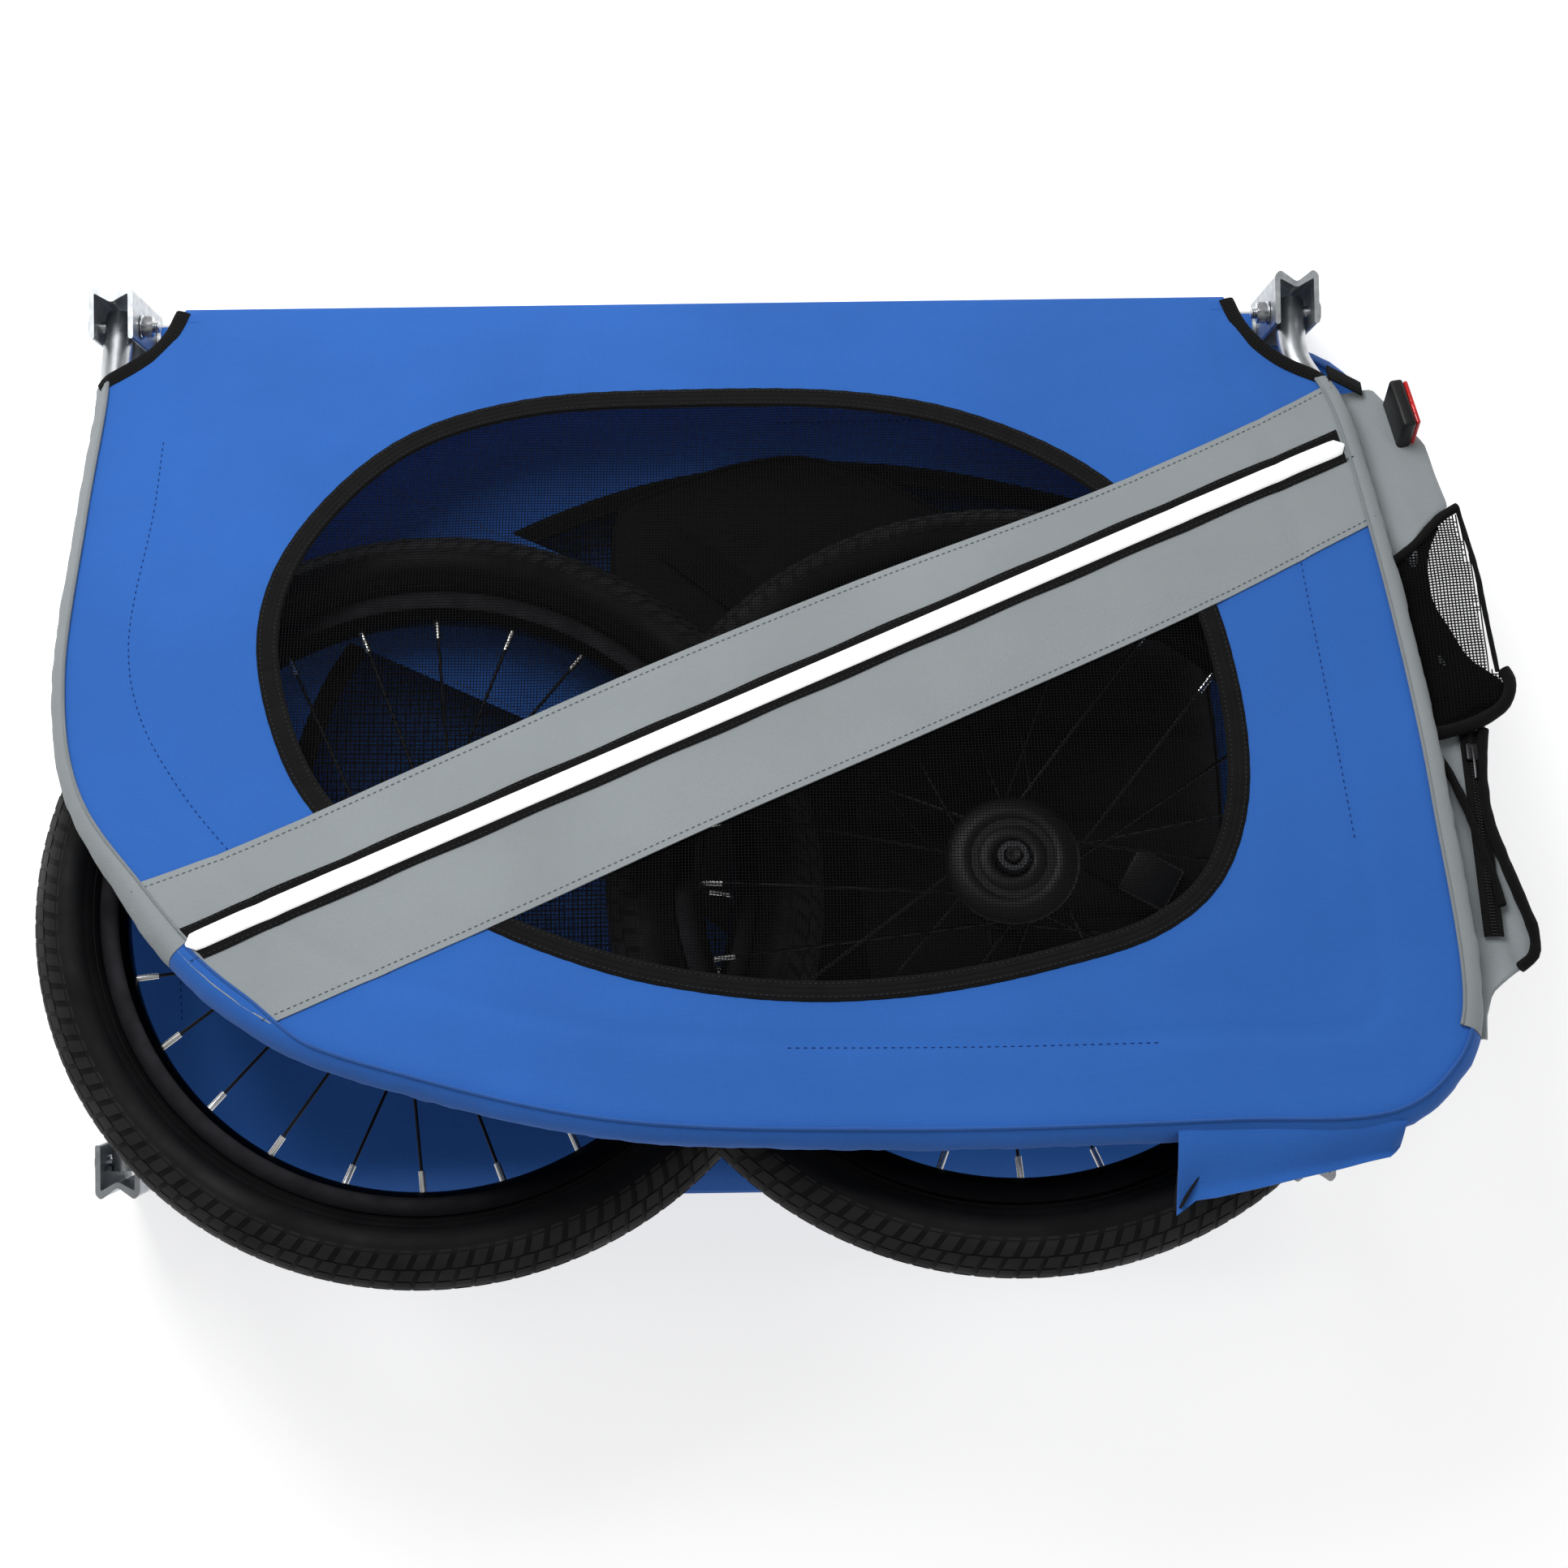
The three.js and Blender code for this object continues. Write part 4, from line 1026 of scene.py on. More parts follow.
side_frame(right)
side_frame(left)
black_tape()
reflective_strip()


# ---- rear gusset and what it carries -------------------------------------------------------------
GUSSET_EDGE = [(52, 428), (60, 437), (80, 452), (102, 467), (125, 471), (150, 477), (158, 470), (172, 456),
               (200, 452), (250, 458), (280, 470), (300, 484), (320, 484), (345, 481), (372, 482), (400, 487),
               (426, 493), (453, 499), (466, 495), (476, 482), (488, 468), (503, 463), (520, 461)]


def rear_gusset():
    """The slack grey cloth behind the right tube: a valley beside the tube, then soft standing folds."""
    run = hoop_part(right, REAR_SEAM, (412, 54), 4)
    v, x = np.array(GUSSET_EDGE, float).T
    inner = run[:, 0] + 7
    outer = np.maximum(np.interp(run[:, 1], v, x), inner + 5)
    rows, spots = [], []
    for t in np.linspace(0, 1, 20):
        p = np.column_stack([inner + (outer - inner) * t, run[:, 1]])
        d = p[:, 0] - run[:, 0]
        low = ease(p[:, 1], 292, 322) * ease(-p[:, 1], -500, -462)
        n = -3.0 - 5.5 * ease(d, 6, 13) + 5.0 * ease(d, 14, 34) * (1 - low)
        n = n - 3.2 * low
        folds = 3.4 * ripple(np.column_stack([p[:, 0] * 0.9 - p[:, 1] * 0.55, p[:, 1] * 0.16]), 15, 9)
        pleat = -2.2 * np.exp(-(((d - 15 - 0.14 * (p[:, 1] - 300)) / 4.0) ** 2)) * ease(p[:, 1], 300, 360)
        n = n + (folds * (1 - 0.72 * low) + pleat) * ease(d, 9, 18) - 1.5 * ease(t, 0.9, 1)
        rows.append(right.place(np.column_stack([p, n])))
        spots.append(p)
    cloth = ribbon("rear_grey_gusset_cloth", rows, 1.1, "right_side", GREY, "grey_oxford", "rear_panel",
                   uv=np.vstack(spots) * MM)


def pocket_height(p):
    full = ease(p[:, 0], 436, 486) * ease(p[:, 1], 150, 215)
    return -4.0 + 7.5 * full * (1 - 0.75 * ease(p[:, 1], 285, 312))


def rear_pocket():
    """A net pocket on the gusset with bound edges."""
    outline = even(spline([(436, 192), (458, 172), (481, 153), (488, 200), (491, 240), (492, 276), (500, 276),
                           (499, 296), (472, 308), (446, 318), (441, 250)], 5, True), 5, True)
    if Side.turn(outline) > 0:
        outline = outline[::-1]
    backed = even(spline([(433, 193), (450, 181), (470, 163), (461, 186), (460, 220), (469, 245), (478, 266),
                          (497, 284), (495, 297), (470, 308), (444, 318), (438, 250)], 4, True), 4, True)
    backed = backed[::-1] if Side.turn(backed) > 0 else backed
    spots, faces = cut_cloth(backed, None, 4)
    fade = lambda p: 1.3 * ripple(p, 17, 21)
    back = right.place(np.column_stack([spots, pocket_height(spots) - 2.5 + fade(spots)]))
    cloth = thicken(mesh_object("pocket_black_cloth", back, faces, uv=spots * MM), 0.9)
    fit(cloth, "right_side", BLACK_CLOTH, "black_net", "rear_pocket")
    tuple(np.ptp(spots, axis=0) * MM)
    flat_area(spots, faces)
    lines = []
    inner = outline - normals(outline, True) * 1.5
    for axis, _, run in chords(inner, 2.1, 1.5, 1, 8):
        q = run[:-1:4]
        if len(q) > 2:
            lines.append(right.place(np.column_stack([q, pocket_height(q) + fade(q) + 0.2 * axis])))
    net = grow(lines_object("pocket_net", lines), THREADS, Radius=0.00055, Sides=3, Material=NET_YARN)
    fit(net, "right_side", NET_YARN, "black_net", sharp=180, closed=False)
    edges = {
        "mouth": ([(434, 194), (452, 180), (470, 160), (483, 151)], 3.0),
        "foot": ([(445, 317), (462, 314), (482, 307), (496, 297), (500, 284), (497, 275)], 4.2),
        "side": ([(483, 152), (488, 200), (490.5, 240), (493, 276)], 1.7),
        "inner": ([(434, 194), (439, 250), (445, 317)], 1.8),
        "zip_edge": ([(482, 312), (478, 340), (478, 372), (484, 400), (491, 426), (497, 452), (495, 465),
                      (486, 473)], 3.6),
        "zip_guard": ([(447, 321), (456, 338), (465, 364), (472, 392), (477, 414), (480, 432)], 2.6),
    }
    for label, (path, r) in edges.items():
        p = even(spline(path, 4), 4)
        height = pocket_height(p) + 0.6 if p[:, 1].max() < 320 else np.full(len(p), -6.4)
        line = right.place(np.column_stack([p, height]))
        r_along = r * (1 + 0.18 * ripple(p, 9, 23))
        cord(f"rear_{label}_binding", line, r_along, "right_side", BLACK_TAPE, "black_webbing", 12)


def zipper():
    """The zip along the gusset: tape, two rows of teeth and the slider."""
    x, v0, v1 = 473, 312, 452
    v = np.linspace(v0, v1, 60)
    rows = [right.place(np.column_stack([np.full(60, x + d), v, np.full(60, lift)]))
            for d, lift in ((-6, -8.2), (-4, -7.6), (-1.2, -7.2), (1.2, -7.2), (4, -7.6), (6, -8.2))]
    ribbon("zip_tape", rows, 0.8, "right_side", BLACK_TAPE, "black_webbing", "zipper_tape")
    lines = [right.place(np.column_stack([np.full(2, x + d), (v0 + 1 + k, v1 - 1), np.full(2, -6.6)]))
             for d, k in ((-0.8, 0), (0.8, 1.0))]
    sew("zip_teeth", lines, "right_side", PLASTIC, 0.0020, (0.0007, 0.0016, 0.0007))
    softened("zip_slider_body", "zip_slider", 1.2, "zip_pull", ZIP_METAL, "zip_metal")
    low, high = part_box("zip_slider")
    middle = (low + high) / 2
    local = [(3, 0), (-5, 1.2), (-14, 1.0), (-19, 0.2)]
    s, c = math.sin(RIGHT_SLOPE), math.cos(RIGHT_SLOPE)
    line = [(middle.x, middle.y + (b * c + (d + 2.2) * s) * MM, middle.z + (-b * s + (d + 2.2) * c) * MM)
            for b, d in local]
    cord("zip_puller", even(spline(line, 0.004), 0.004), 1.1, "zip_pull", ZIP_METAL, "zip_metal")


def reflector():
    softened("reflector_body", "reflector_housing", 2.2, "right_side", PLASTIC, "cap_plastic")
    softened("red_reflector_lens", "reflector_lens", 1.1, "right_side", RED_LENS, "lens_red")


def webbing_tab():
    """The folded black loop at the gusset's top corner."""
    x = np.linspace(406, 429, 12)
    rows = []
    for v, n in ((53, 7.5), (51, 9.5), (50, 10.5), (56, 11.5), (60, 11.0)):
        rows.append(right.place(np.column_stack([x, v + (x - 406) * 0.32, n - (x - 406) * 0.42])))
    ribbon("black_webbing_tab", rows, 1.3, "right_side", BLACK_TAPE, "black_webbing")


def roof_flap():
    """The loose blue flap under the roof tube, with a black sheet at its open end as painted shade inside the
    curl.
    """
    x = np.linspace(272, 405, 46)
    low_edge = np.interp(x, [272, 284, 296, 400, 405], [626, 617, 616, 592, 586])
    rows = []
    for t in np.linspace(0, 1, 14):
        v = 575 + (low_edge - 575) * t
        p = np.column_stack([x, v])
        n = 7.5 * np.cos(np.clip(t * 2.4, 0, 2.0)) - 2.6 * t + 1.7 * ripple(p, 22, 31) * t
        n = n + 3.0 * ease(-x, -300, -275) * math.sin(t * math.pi)
        rows.append(right.place(np.column_stack([x - 3 * t, v, n])))
    flap = ribbon("blue_roof_flap", rows, 1.1, "right_side", BLUE, "blue_oxford", "roof_flap")
    # Painted shade: a black cloth sheet at the flap's open end stands for the dark inside of the curled flap.
    v = np.linspace(577, 622, 16)
    rows = []
    for d, n in ((0, 1.5), (-4, -1.0), (-9, -4.0), (-15, -5.0)):
        px = np.interp(v, [577, 600, 622], [292 + d, 286 + d, 272 + d * 0.3])
        rows.append(right.place(np.column_stack([px, v, np.full(16, n) - (v - 577) * 0.08])))
    ribbon("flap_end_painted_shade", rows, 0.9, "right_side", BLACK_CLOTH, "black_oxford")
    ends = right.place([(-195, 505, 3.0), (345, 505, 3.0)])
    bar = pipe("roof_spreader_bar", even(ends, 0.02), 6.5, sides=28)
    fit(bar, "right_side", HOOP_STEEL, "hoop_steel", "spreader_bar")


rear_gusset()
rear_pocket()
zipper()
reflector()
webbing_tab()
roof_flap()


# ---- seat, folded flat on the left side ----------------------------------------------------------
def on_left(node):
    """Lowest and highest x, v, n of a frame node in the left side's own directions."""
    p = np.array([v.co for v in frame["nodes"][node].data.vertices], float)
    y0, z0 = bolt_line("left_front_pivot_bolt")
    c, s = math.cos(LEFT_SLOPE), math.sin(LEFT_SLOPE)
    y, z = p[:, 1] - y0, p[:, 2] - z0
    local = np.column_stack([p[:, 0] - BASE_X, y * c - z * s, y * s + z * c]) / MM
    return local.min(0), local.max(0)


def seat_sling():
    outline = even(spline([(-58, 424), (-44, 433), (69, 458), (222, 370), (280, 294), (340, 200), (330, 70),
                           (225, 74), (120, 90), (-30, 180), (-60, 300)], 6, True), 6, True)
    spots, faces = cut_cloth(outline, None, 8)
    low = on_left("seat_sling")[0]
    n = low[2] + 1.4 + 1.3 * (1 + ripple(spots, 40, 41)) + 0.8 * (1 + ripple(spots, 14, 42)) * 0.5
    cloth = mesh_object("black_seat_sling", left.place(np.column_stack([spots, n])), faces, uv=spots * MM)
    thicken(cloth, 1.4)
    fit(cloth, "base", BLACK_CLOTH, "black_oxford", "seat_sling")
    tuple(np.ptp(spots, axis=0) * MM)
    flat_area(spots, faces)
    line = np.vstack([outline, outline[:1]])
    edge = left.place(np.column_stack([line, np.full(len(line), low[2] + 3.0)]))
    cord("seat_sling_edge", edge, 1.8, "base", BLACK_TAPE, "black_webbing")


def seat_pad():
    """A crowned pad with sewn channels, its rim drawn in between the corners."""
    low, high = on_left("seat_pad")
    cx, cv = (low[0] + high[0]) / 2, (low[1] + high[1]) / 2
    hx, hv, t = (high[0] - low[0]) / 2 - 2, (high[1] - low[1]) / 2 - 2, high[2] - low[2]
    k = 64
    u = np.linspace(-1, 1, k)
    gx, gv = np.meshgrid(u, u, indexing="ij")
    square = lambda a, b: a * np.sqrt(1 - 0.5 * b**2 * 0.35)
    px, pv = square(gx, gv), square(gv, gx)
    draw_in = 1 - 0.03 * (1 - np.maximum(abs(gx), abs(gv)) ** 8)
    crown = np.sqrt(np.clip(1 - np.maximum(abs(gx), abs(gv)) ** 10, 0, 1))
    crown = crown * (0.72 + 0.28 * np.cos(gx * 1.3) * np.cos(gv * 1.3))
    channel = sum(np.exp(-(((gv - line) / 0.045) ** 2)) for line in (-0.5, 0, 0.5))
    top = t * (0.22 + 0.76 * crown - 0.20 * channel * crown)
    flat = np.column_stack([(cx + hx * px * draw_in).ravel(), (cv + hv * pv * draw_in).ravel()])
    soft = 0.5 * ripple(flat, 21, 51) + 0.3 * ripple(flat, 8, 52)
    up = low[2] + top.ravel() + soft * crown.ravel()
    down = low[2] + t * 0.22 * (1 - crown.ravel()) + 0.3
    points = np.vstack([left.place(np.column_stack([flat, up])), left.place(np.column_stack([flat, down]))])
    faces, m = [], k * k
    for i in range(k - 1):
        for j in range(k - 1):
            a, b, c, d = i * k + j, (i + 1) * k + j, (i + 1) * k + j + 1, i * k + j + 1
            faces += [(a, b, c, d), (m + a, m + d, m + c, m + b)]
    rim = ([i * k for i in range(k)] + [(k - 1) * k + j for j in range(1, k)]
           + [i * k + k - 1 for i in range(k - 2, -1, -1)] + [j for j in range(k - 2, 0, -1)])
    faces += [(a, b, b + m, a + m) for a, b in zip(rim, rim[1:] + rim[:1])]
    pad = mesh_object("padded_seat", points, faces, uv=np.vstack([flat, flat]) * MM)
    fit(pad, "base", SEAT_CLOTH, "seat_padding", "seat_pad", sharp=70)
    ring = np.array([flat[i] for i in rim + rim[:1]])
    line = left.place(np.column_stack([ring, np.full(len(ring), low[2] + t * 0.22)]))
    cord("seat_pad_piping", even(line, 0.005), 2.0, "base", BLACK_TAPE, "black_webbing", 10)


def strap(name, node, ends, lift):
    """Flat webbing between two drawn places."""
    a, b = np.array(ends, float)
    t = np.linspace(0, 1, 24)
    rows = []
    for d in np.linspace(-12.5, 12.5, 6):
        p = a + np.outer(t, b - a) + left_of(a, b) * d
        rows.append(left.place(np.column_stack([p, lift + 0.9 * np.sin(t * 7) ** 2 + 0.02 * abs(d)])))
    ribbon(name, rows, 1.5, "base", BLACK_WEB, "black_webbing", node)


def harness():
    lie = lambda node: on_left(node)[0][2] + 1
    strap("shoulder_webbing", "shoulder_strap", [(-26, 404), (48, 346)], lie("shoulder_strap"))
    strap("lap_webbing", "lap_strap", [(245, 190), (318, 150)], lie("lap_strap"))
    softened("buckle_body", "harness_buckle", 2.5, "base", PLASTIC, "cap_plastic")


seat_sling()
seat_pad()
harness()


# ---- base frame ----------------------------------------------------------------------------------
def tube_between(name, node, axis, radius, wall, material, slot):
    """A smooth tube in place of a straight frame tube."""
    low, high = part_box(node)
    ends = np.array([(low + high) / 2] * 2, float)
    ends[:, axis] = low[axis], high[axis]
    fit(pipe(name, even(ends, 0.03), radius, wall, 32), "base", material, slot, node)


def rounded_profile(points, radius, steps=5):
    """A closed outline with its corners rounded, less where an edge is short."""
    p = np.array(points, float)
    out = []
    for i in range(len(p)):
        a, b, c = p[i - 1], p[i], p[(i + 1) % len(p)]
        d1, d2 = a - b, c - b
        l1, l2 = np.linalg.norm(d1), np.linalg.norm(d2)
        cut = min(radius, l1 * 0.45, l2 * 0.45)
        s, e = b + d1 / l1 * cut, b + d2 / l2 * cut
        t = np.linspace(0, 1, steps)[:, None]
        out.append((1 - t) ** 2 * s + 2 * t * (1 - t) * b + t**2 * e)
    return np.vstack(out)


def bracket(side_name, end):
    """A folded channel with a notched outer wall, bent from sheet."""
    node = f"{side_name}_{end}_bracket"
    low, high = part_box(node)
    x = (low.x + high.x) / 2
    y = bolt_line(f"{side_name}_{end}_pivot_bolt")[0]
    w, t, out, inner = BRACKET_HALF, BRACKET_WALL, BRACKET_OUT, BRACKET_IN
    slant = t * 1.12
    outer = [(-w, -inner), (-w, out - 2.5), (-w + 2.5, out), (-w + 4, out), (0, out - NOTCH), (w - 4, out),
             (w - 2.5, out), (w, out - 2.5), (w, -inner)]
    inside_line = [(w - t, -inner), (w - t, out - slant - 1), (0, out - NOTCH - slant),
                   (-w + t, out - slant - 1), (-w + t, -inner)]
    ring = rounded_profile(outer + inside_line, 2.4)
    sign = 1 if side_name == "right" else -1
    bottom, top = low.z / MM, high.z / MM
    k = len(ring)
    rows = [np.column_stack([x + ring[:, 0] * MM * sign, y + ring[:, 1] * MM * sign, np.full(k, level * MM)])
            for level in (bottom, bottom + 0.4, top - 0.4, top)]
    item = mesh_object(f"{side_name}_{end}_folded_bracket", np.vstack(rows), quads(4, k) + end_faces(4, k))
    edge = item.modifiers.new("Edges", "BEVEL")
    edge.width, edge.segments, edge.limit_method, edge.angle_limit = 0.0004, 2, "ANGLE", math.radians(60)
    fit(item, "base", BRACKET_STEEL, "bracket_steel", node)


def pivot_bolt(side_name, end):
    """Hexagon head, washer and nut with chamfered corners, and the thread's end."""
    name = f"{side_name}_{end}"
    node = f"{name}_pivot_bolt"
    low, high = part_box(node)
    y, z = bolt_line(node)
    x_mid = sum(corner.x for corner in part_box(f"{name}_bracket")) / 2
    nut_way = 1 if high.x - x_mid > x_mid - low.x else -1

    def across(points):
        p = np.atleast_2d(np.array(points, float)) * MM
        return np.column_stack([x_mid + nut_way * p[:, 2], y + p[:, 0], z + p[:, 1]])

    w = BRACKET_HALF + 0.3
    shank = [(0.01, -w - 1), (BOLT_R, -w - 1), (BOLT_R, w + 8)]
    for i in range(3):
        shank += [(BOLT_R - 0.45, w + 8.5 + i * 1.2), (BOLT_R, w + 9.1 + i * 1.2)]
    shank += [(BOLT_R - 0.9, w + 12.1), (0.01, w + 12.1)]
    washer = [(BOLT_R, w), (7.6, w), (8, w + 0.4), (8, w + 1.2), (7.6, w + 1.6), (BOLT_R, w + 1.6)]
    fit(turned(f"{name}_bolt_shank", shank, across, 28), "base", ZINC, "bolt_zinc", node, sharp=30)
    fit(turned(f"{name}_washer", washer, across, 36), "base", ZINC, "bolt_zinc", sharp=30)
    a = np.linspace(0, 2 * math.pi, 49)[:-1]
    hexagon = 6.5 / np.cos((a + math.pi / 6) % (math.pi / 3) - math.pi / 6)
    chamfered = np.minimum(hexagon, 6.55)
    for label, start, stop in (("head", -w - 5.3, -w), ("nut", w + 1.6, w + 8.1)):
        rows = [across(np.column_stack([r * np.cos(a), r * np.sin(a), np.full(48, n)]))
                for r, n in ((chamfered * 0.55, start), (chamfered, start), (hexagon, start + 0.8),
                             (hexagon, stop - 0.8), (chamfered, stop), (chamfered * 0.55, stop))]
        part = mesh_object(f"{name}_bolt_{label}", np.vstack(rows), quads(6, 48) + end_faces(6, 48))
        fit(part, "base", ZINC, "bolt_zinc", sharp=30)


def dress(node, material):
    """A frame node that stays as it is gets its finish."""
    mesh = frame["nodes"][node].data
    mesh.materials.clear()
    mesh.materials.append(material)


def floor_cloth():
    """The base's cloth floor: stretched, a little slack, its edges turned and stitched."""
    low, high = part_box("floor_sheet")
    xs, ys = np.linspace(low.x, high.x, 110), np.linspace(low.y, high.y, 80)
    rows = []
    for y in ys:
        p = np.column_stack([xs, np.full(110, y)]) / MM
        edge = np.minimum(np.minimum(xs - low.x, high.x - xs), np.minimum(y - low.y, high.y - y)) / MM
        sag = 0.5 * ripple(p, 70, 61) * ease(edge, 5, 40) + 0.5 * (1 - ease(edge, 12, 16))
        rows.append(np.column_stack([xs, np.full(110, y), (low.z + high.z) / 2 + sag * MM]))
    cloth = ribbon("blue_floor_cloth", rows, 1.2, "base", BLUE, "blue_oxford", "floor_sheet")
    inset = 0.012
    loop = [(low.x + inset, low.y + inset), (high.x - inset, low.y + inset), (high.x - inset, high.y - inset),
            (low.x + inset, high.y - inset)]
    line = [(x, y, high.z + 0.0001) for x, y in loop]
    sew("floor_stitches", [line], "base", BLUE_THREAD, 0.006, (0.002, 0.0005, 0.0003), True)


def floor_edges():
    """The floor cloth's long edges, carried out over the top of each rail."""
    low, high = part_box("floor_sheet")
    x = np.linspace(low.x + 0.006, high.x - 0.006, 120)
    for name, out in (("left", -1), ("right", 1)):
        a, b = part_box(f"{name}_rail")
        y, z, r = (a.y + b.y) / 2, (a.z + b.z) / 2, (RAIL_R + 1.0) * MM
        line = [(y - out * 0.030, high.z + 0.0010), (y - out * 0.018, high.z + 0.0010),
                (y - out * 0.009, high.z - 0.0008)]
        line += [(y + out * r * math.sin(t), z + r * math.cos(t)) for t in np.radians((-8, 6, 20, 32, 42))]
        wave = 0.0003 * ripple(np.column_stack([x, x]) / MM, 26, 62)
        rows = [np.column_stack([x, np.full(120, py), pz + wave]) for py, pz in line]
        ribbon(f"{name}_floor_edge", rows, 1.1, "base", BLUE, "blue_oxford")


def base_frame():
    for name in ("left", "right"):
        tube_between(f"{name}_base_rail", f"{name}_rail", 0, RAIL_R, TUBE_WALL, RAIL_STEEL, "rail_steel")
        low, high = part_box(f"{name}_axle_sleeve")
        tube_between(f"{name}_wheel_sleeve", f"{name}_axle_sleeve", 1, (high.z - low.z) / 2 / MM, 2.0,
                     AXLE_STEEL, "rail_steel")
        for end in ("front", "rear"):
            bracket(name, end)
            pivot_bolt(name, end)
    for end in ("front", "rear"):
        tube_between(f"{end}_base_crossbar", f"{end}_crossbar", 1, CROSSBAR_R, TUBE_WALL, RAIL_STEEL,
                     "rail_steel")
    softened("axle_box_beam", "axle_beam", 1.5, "base", RAIL_STEEL, "rail_steel")
    floor_cloth()
    floor_edges()


base_frame()


# ---- wheels --------------------------------------------------------------------------------------
def tyre_profile():
    """Outside of the carcass from one bead over the crown to the other, with its moulded rings."""
    half = [(-24.6, 9.2), (-21, 9.9), (-18.6, 10.4), (-17.6, 12.6), (-16.4, 14.6), (-15.6, 14.3),
            (-14.4, 16.2), (-11.5, 18.4), (-10.8, 18.1), (-10.0, 19.2), (-6, 21.4), (-2, 22.7),
            (2.0, 23.0), (4.5, 22.4), (5.4, 22.7), (6.6, 22.0), (9.5, 20.0), (12.4, 17.4),
            (15.2, 14.2), (18.0, 10.2), (20.3, 6.2), (21.5, 2.4)]
    half = [(SECTION_R + r, n) for r, n in half]
    return half + [(r, -n) for r, n in reversed(half)]


def tread_blocks(name, place, body):
    """Blocks on the crown and slanted sipes over both shoulders, one set turned round the tyre."""
    surface = np.array(tyre_profile())
    arc = np.concatenate([[0], np.cumsum(np.linalg.norm(np.diff(surface, axis=0), axis=1))])
    at = lambda s: np.array([np.interp(arc[-1] / 2 + s, arc, column) for column in surface.T])
    pitch = 2 * math.pi / TREADS
    steps = 4
    points, faces = [], []

    def block(s0, s1, a0, a1, skew, height):
        start = len(points)
        for lift in (-0.4, height):
            for i in range(steps):
                s = s0 + (s1 - s0) * i / (steps - 1)
                r, n = at(s)
                d = at(s + 0.4) - at(s)
                d /= np.linalg.norm(d)
                r, n = r - d[1] * lift, n + d[0] * lift
                taper = 0.04 if lift > 0 else 0
                for a in (a0 + taper, a1 - taper):
                    angle = (a + skew * (s - s0) / 20) * pitch
                    points.append((r * math.cos(angle), r * math.sin(angle), n))
        k = steps * 2
        for i in range(steps - 1):
            b = start + i * 2
            faces.extend([(b, b + 1, b + 3, b + 2), (b + k, b + k + 2, b + k + 3, b + k + 1),
                          (b, b + 2, b + k + 2, b + k), (b + 1, b + k + 1, b + k + 3, b + 3)])
        e = start + (steps - 1) * 2
        faces.extend([(start, start + k, start + k + 1, start + 1), (e, e + 1, e + k + 1, e + k)])

    for sign in (1, -1):
        block(sign * 1.2, sign * 8.5, 0.05, 0.86, 0.5 * sign, 1.5)
        block(sign * 10.0, sign * 18.0, 0.30, 1.12, 0.7 * sign, 1.6)
        block(sign * 19.4, sign * 31.0, 0.10, 0.84, 0.8 * sign, 1.5)
    one = mesh_object(f"{name}_tread", [Vector(p) * MM for p in points], faces)
    face_out(one)
    # The blocks take the lighter tread rubber: a painted highlight against the darker carcass between them.
    ring = grow(one, ROUND, Count=TREADS, Material=TREAD_RUBBER_PAINTED_HIGHLIGHT)
    move_points(ring, place)
    fit(ring, body, TREAD_RUBBER_PAINTED_HIGHLIGHT, "tyre_rubber", sharp=30, closed=False)


def spokes(name, place, body):
    """Two crossed spokes on each flange, turned round the hub, with their nipples."""
    wires, caps = [], []
    for index in range(4):
        upper = 1 if index % 2 == 0 else -1
        pair = 1 if (index // 2) % 2 == 0 else -1
        rim_angle = index / SPOKES * 2 * math.pi
        hole_angle = rim_angle + pair * (4 * math.pi / (SPOKES / 2))
        hole = Vector(((FLANGE_R - 3.5) * math.cos(hole_angle), (FLANGE_R - 3.5) * math.sin(hole_angle),
                       upper * FLANGE_Z + pair * 2.1))
        end = Vector((RIM_BED_R * math.cos(rim_angle), RIM_BED_R * math.sin(rim_angle), upper * 1.5))
        way = (end - hole).normalized()
        root = hole - Vector((0, 0, pair * 3.6))
        bend = hole - Vector((0, 0, pair * 0.8))
        wires.append([root * MM, bend * MM, (hole + way * 1.5) * MM, (end - way * 2) * MM])
        caps.append([(end - way * 13.5) * MM, (end + way * 1.0) * MM])
    for label, lines, radius, material in (("spokes", wires, 0.00105, SPOKE_BLACK),
                                           ("nipples", caps, 0.0021, NIPPLE)):
        group = grow(lines_object(f"{name}_{label}_part", lines), THREADS, Radius=radius, Sides=10,
                     Material=material)
        ring = grow(group, ROUND, Count=SPOKES // 4, Material=material)
        ring.name = f"{name}_{label}"
        move_points(ring, place)
        fit(ring, body, material, "spoke_black", closed=False)


def hub_shell(name, place, body):
    barrel, seat = 16, 13
    f0, f1 = FLANGE_Z - 1.6, FLANGE_Z + 1.6
    profile = [(AXLE_R + 0.7, -HUB_HALF + 10), (seat, -HUB_HALF + 10), (seat, -HUB_HALF + 0.4),
               (seat + 0.4, -HUB_HALF), (barrel - 0.5, -HUB_HALF), (barrel, -HUB_HALF + 0.5),
               (barrel, -f1 - 1), (barrel + 1.5, -f1),
               (FLANGE_R - 0.6, -f1), (FLANGE_R, -f1 + 0.6), (FLANGE_R, -f0 - 0.6), (FLANGE_R - 0.6, -f0),
               (barrel + 2, -f0), (barrel - 1, -f0 + 3), (barrel - 2, 0)]
    profile += [(r, -n) for r, n in reversed(profile[:-1])]
    shell = turned(f"{name}_hub_shell", profile, place, 72)
    fit(shell, body, RIM_BLACK, "spoke_black", f"{name}_spoked_hub", sharp=30)


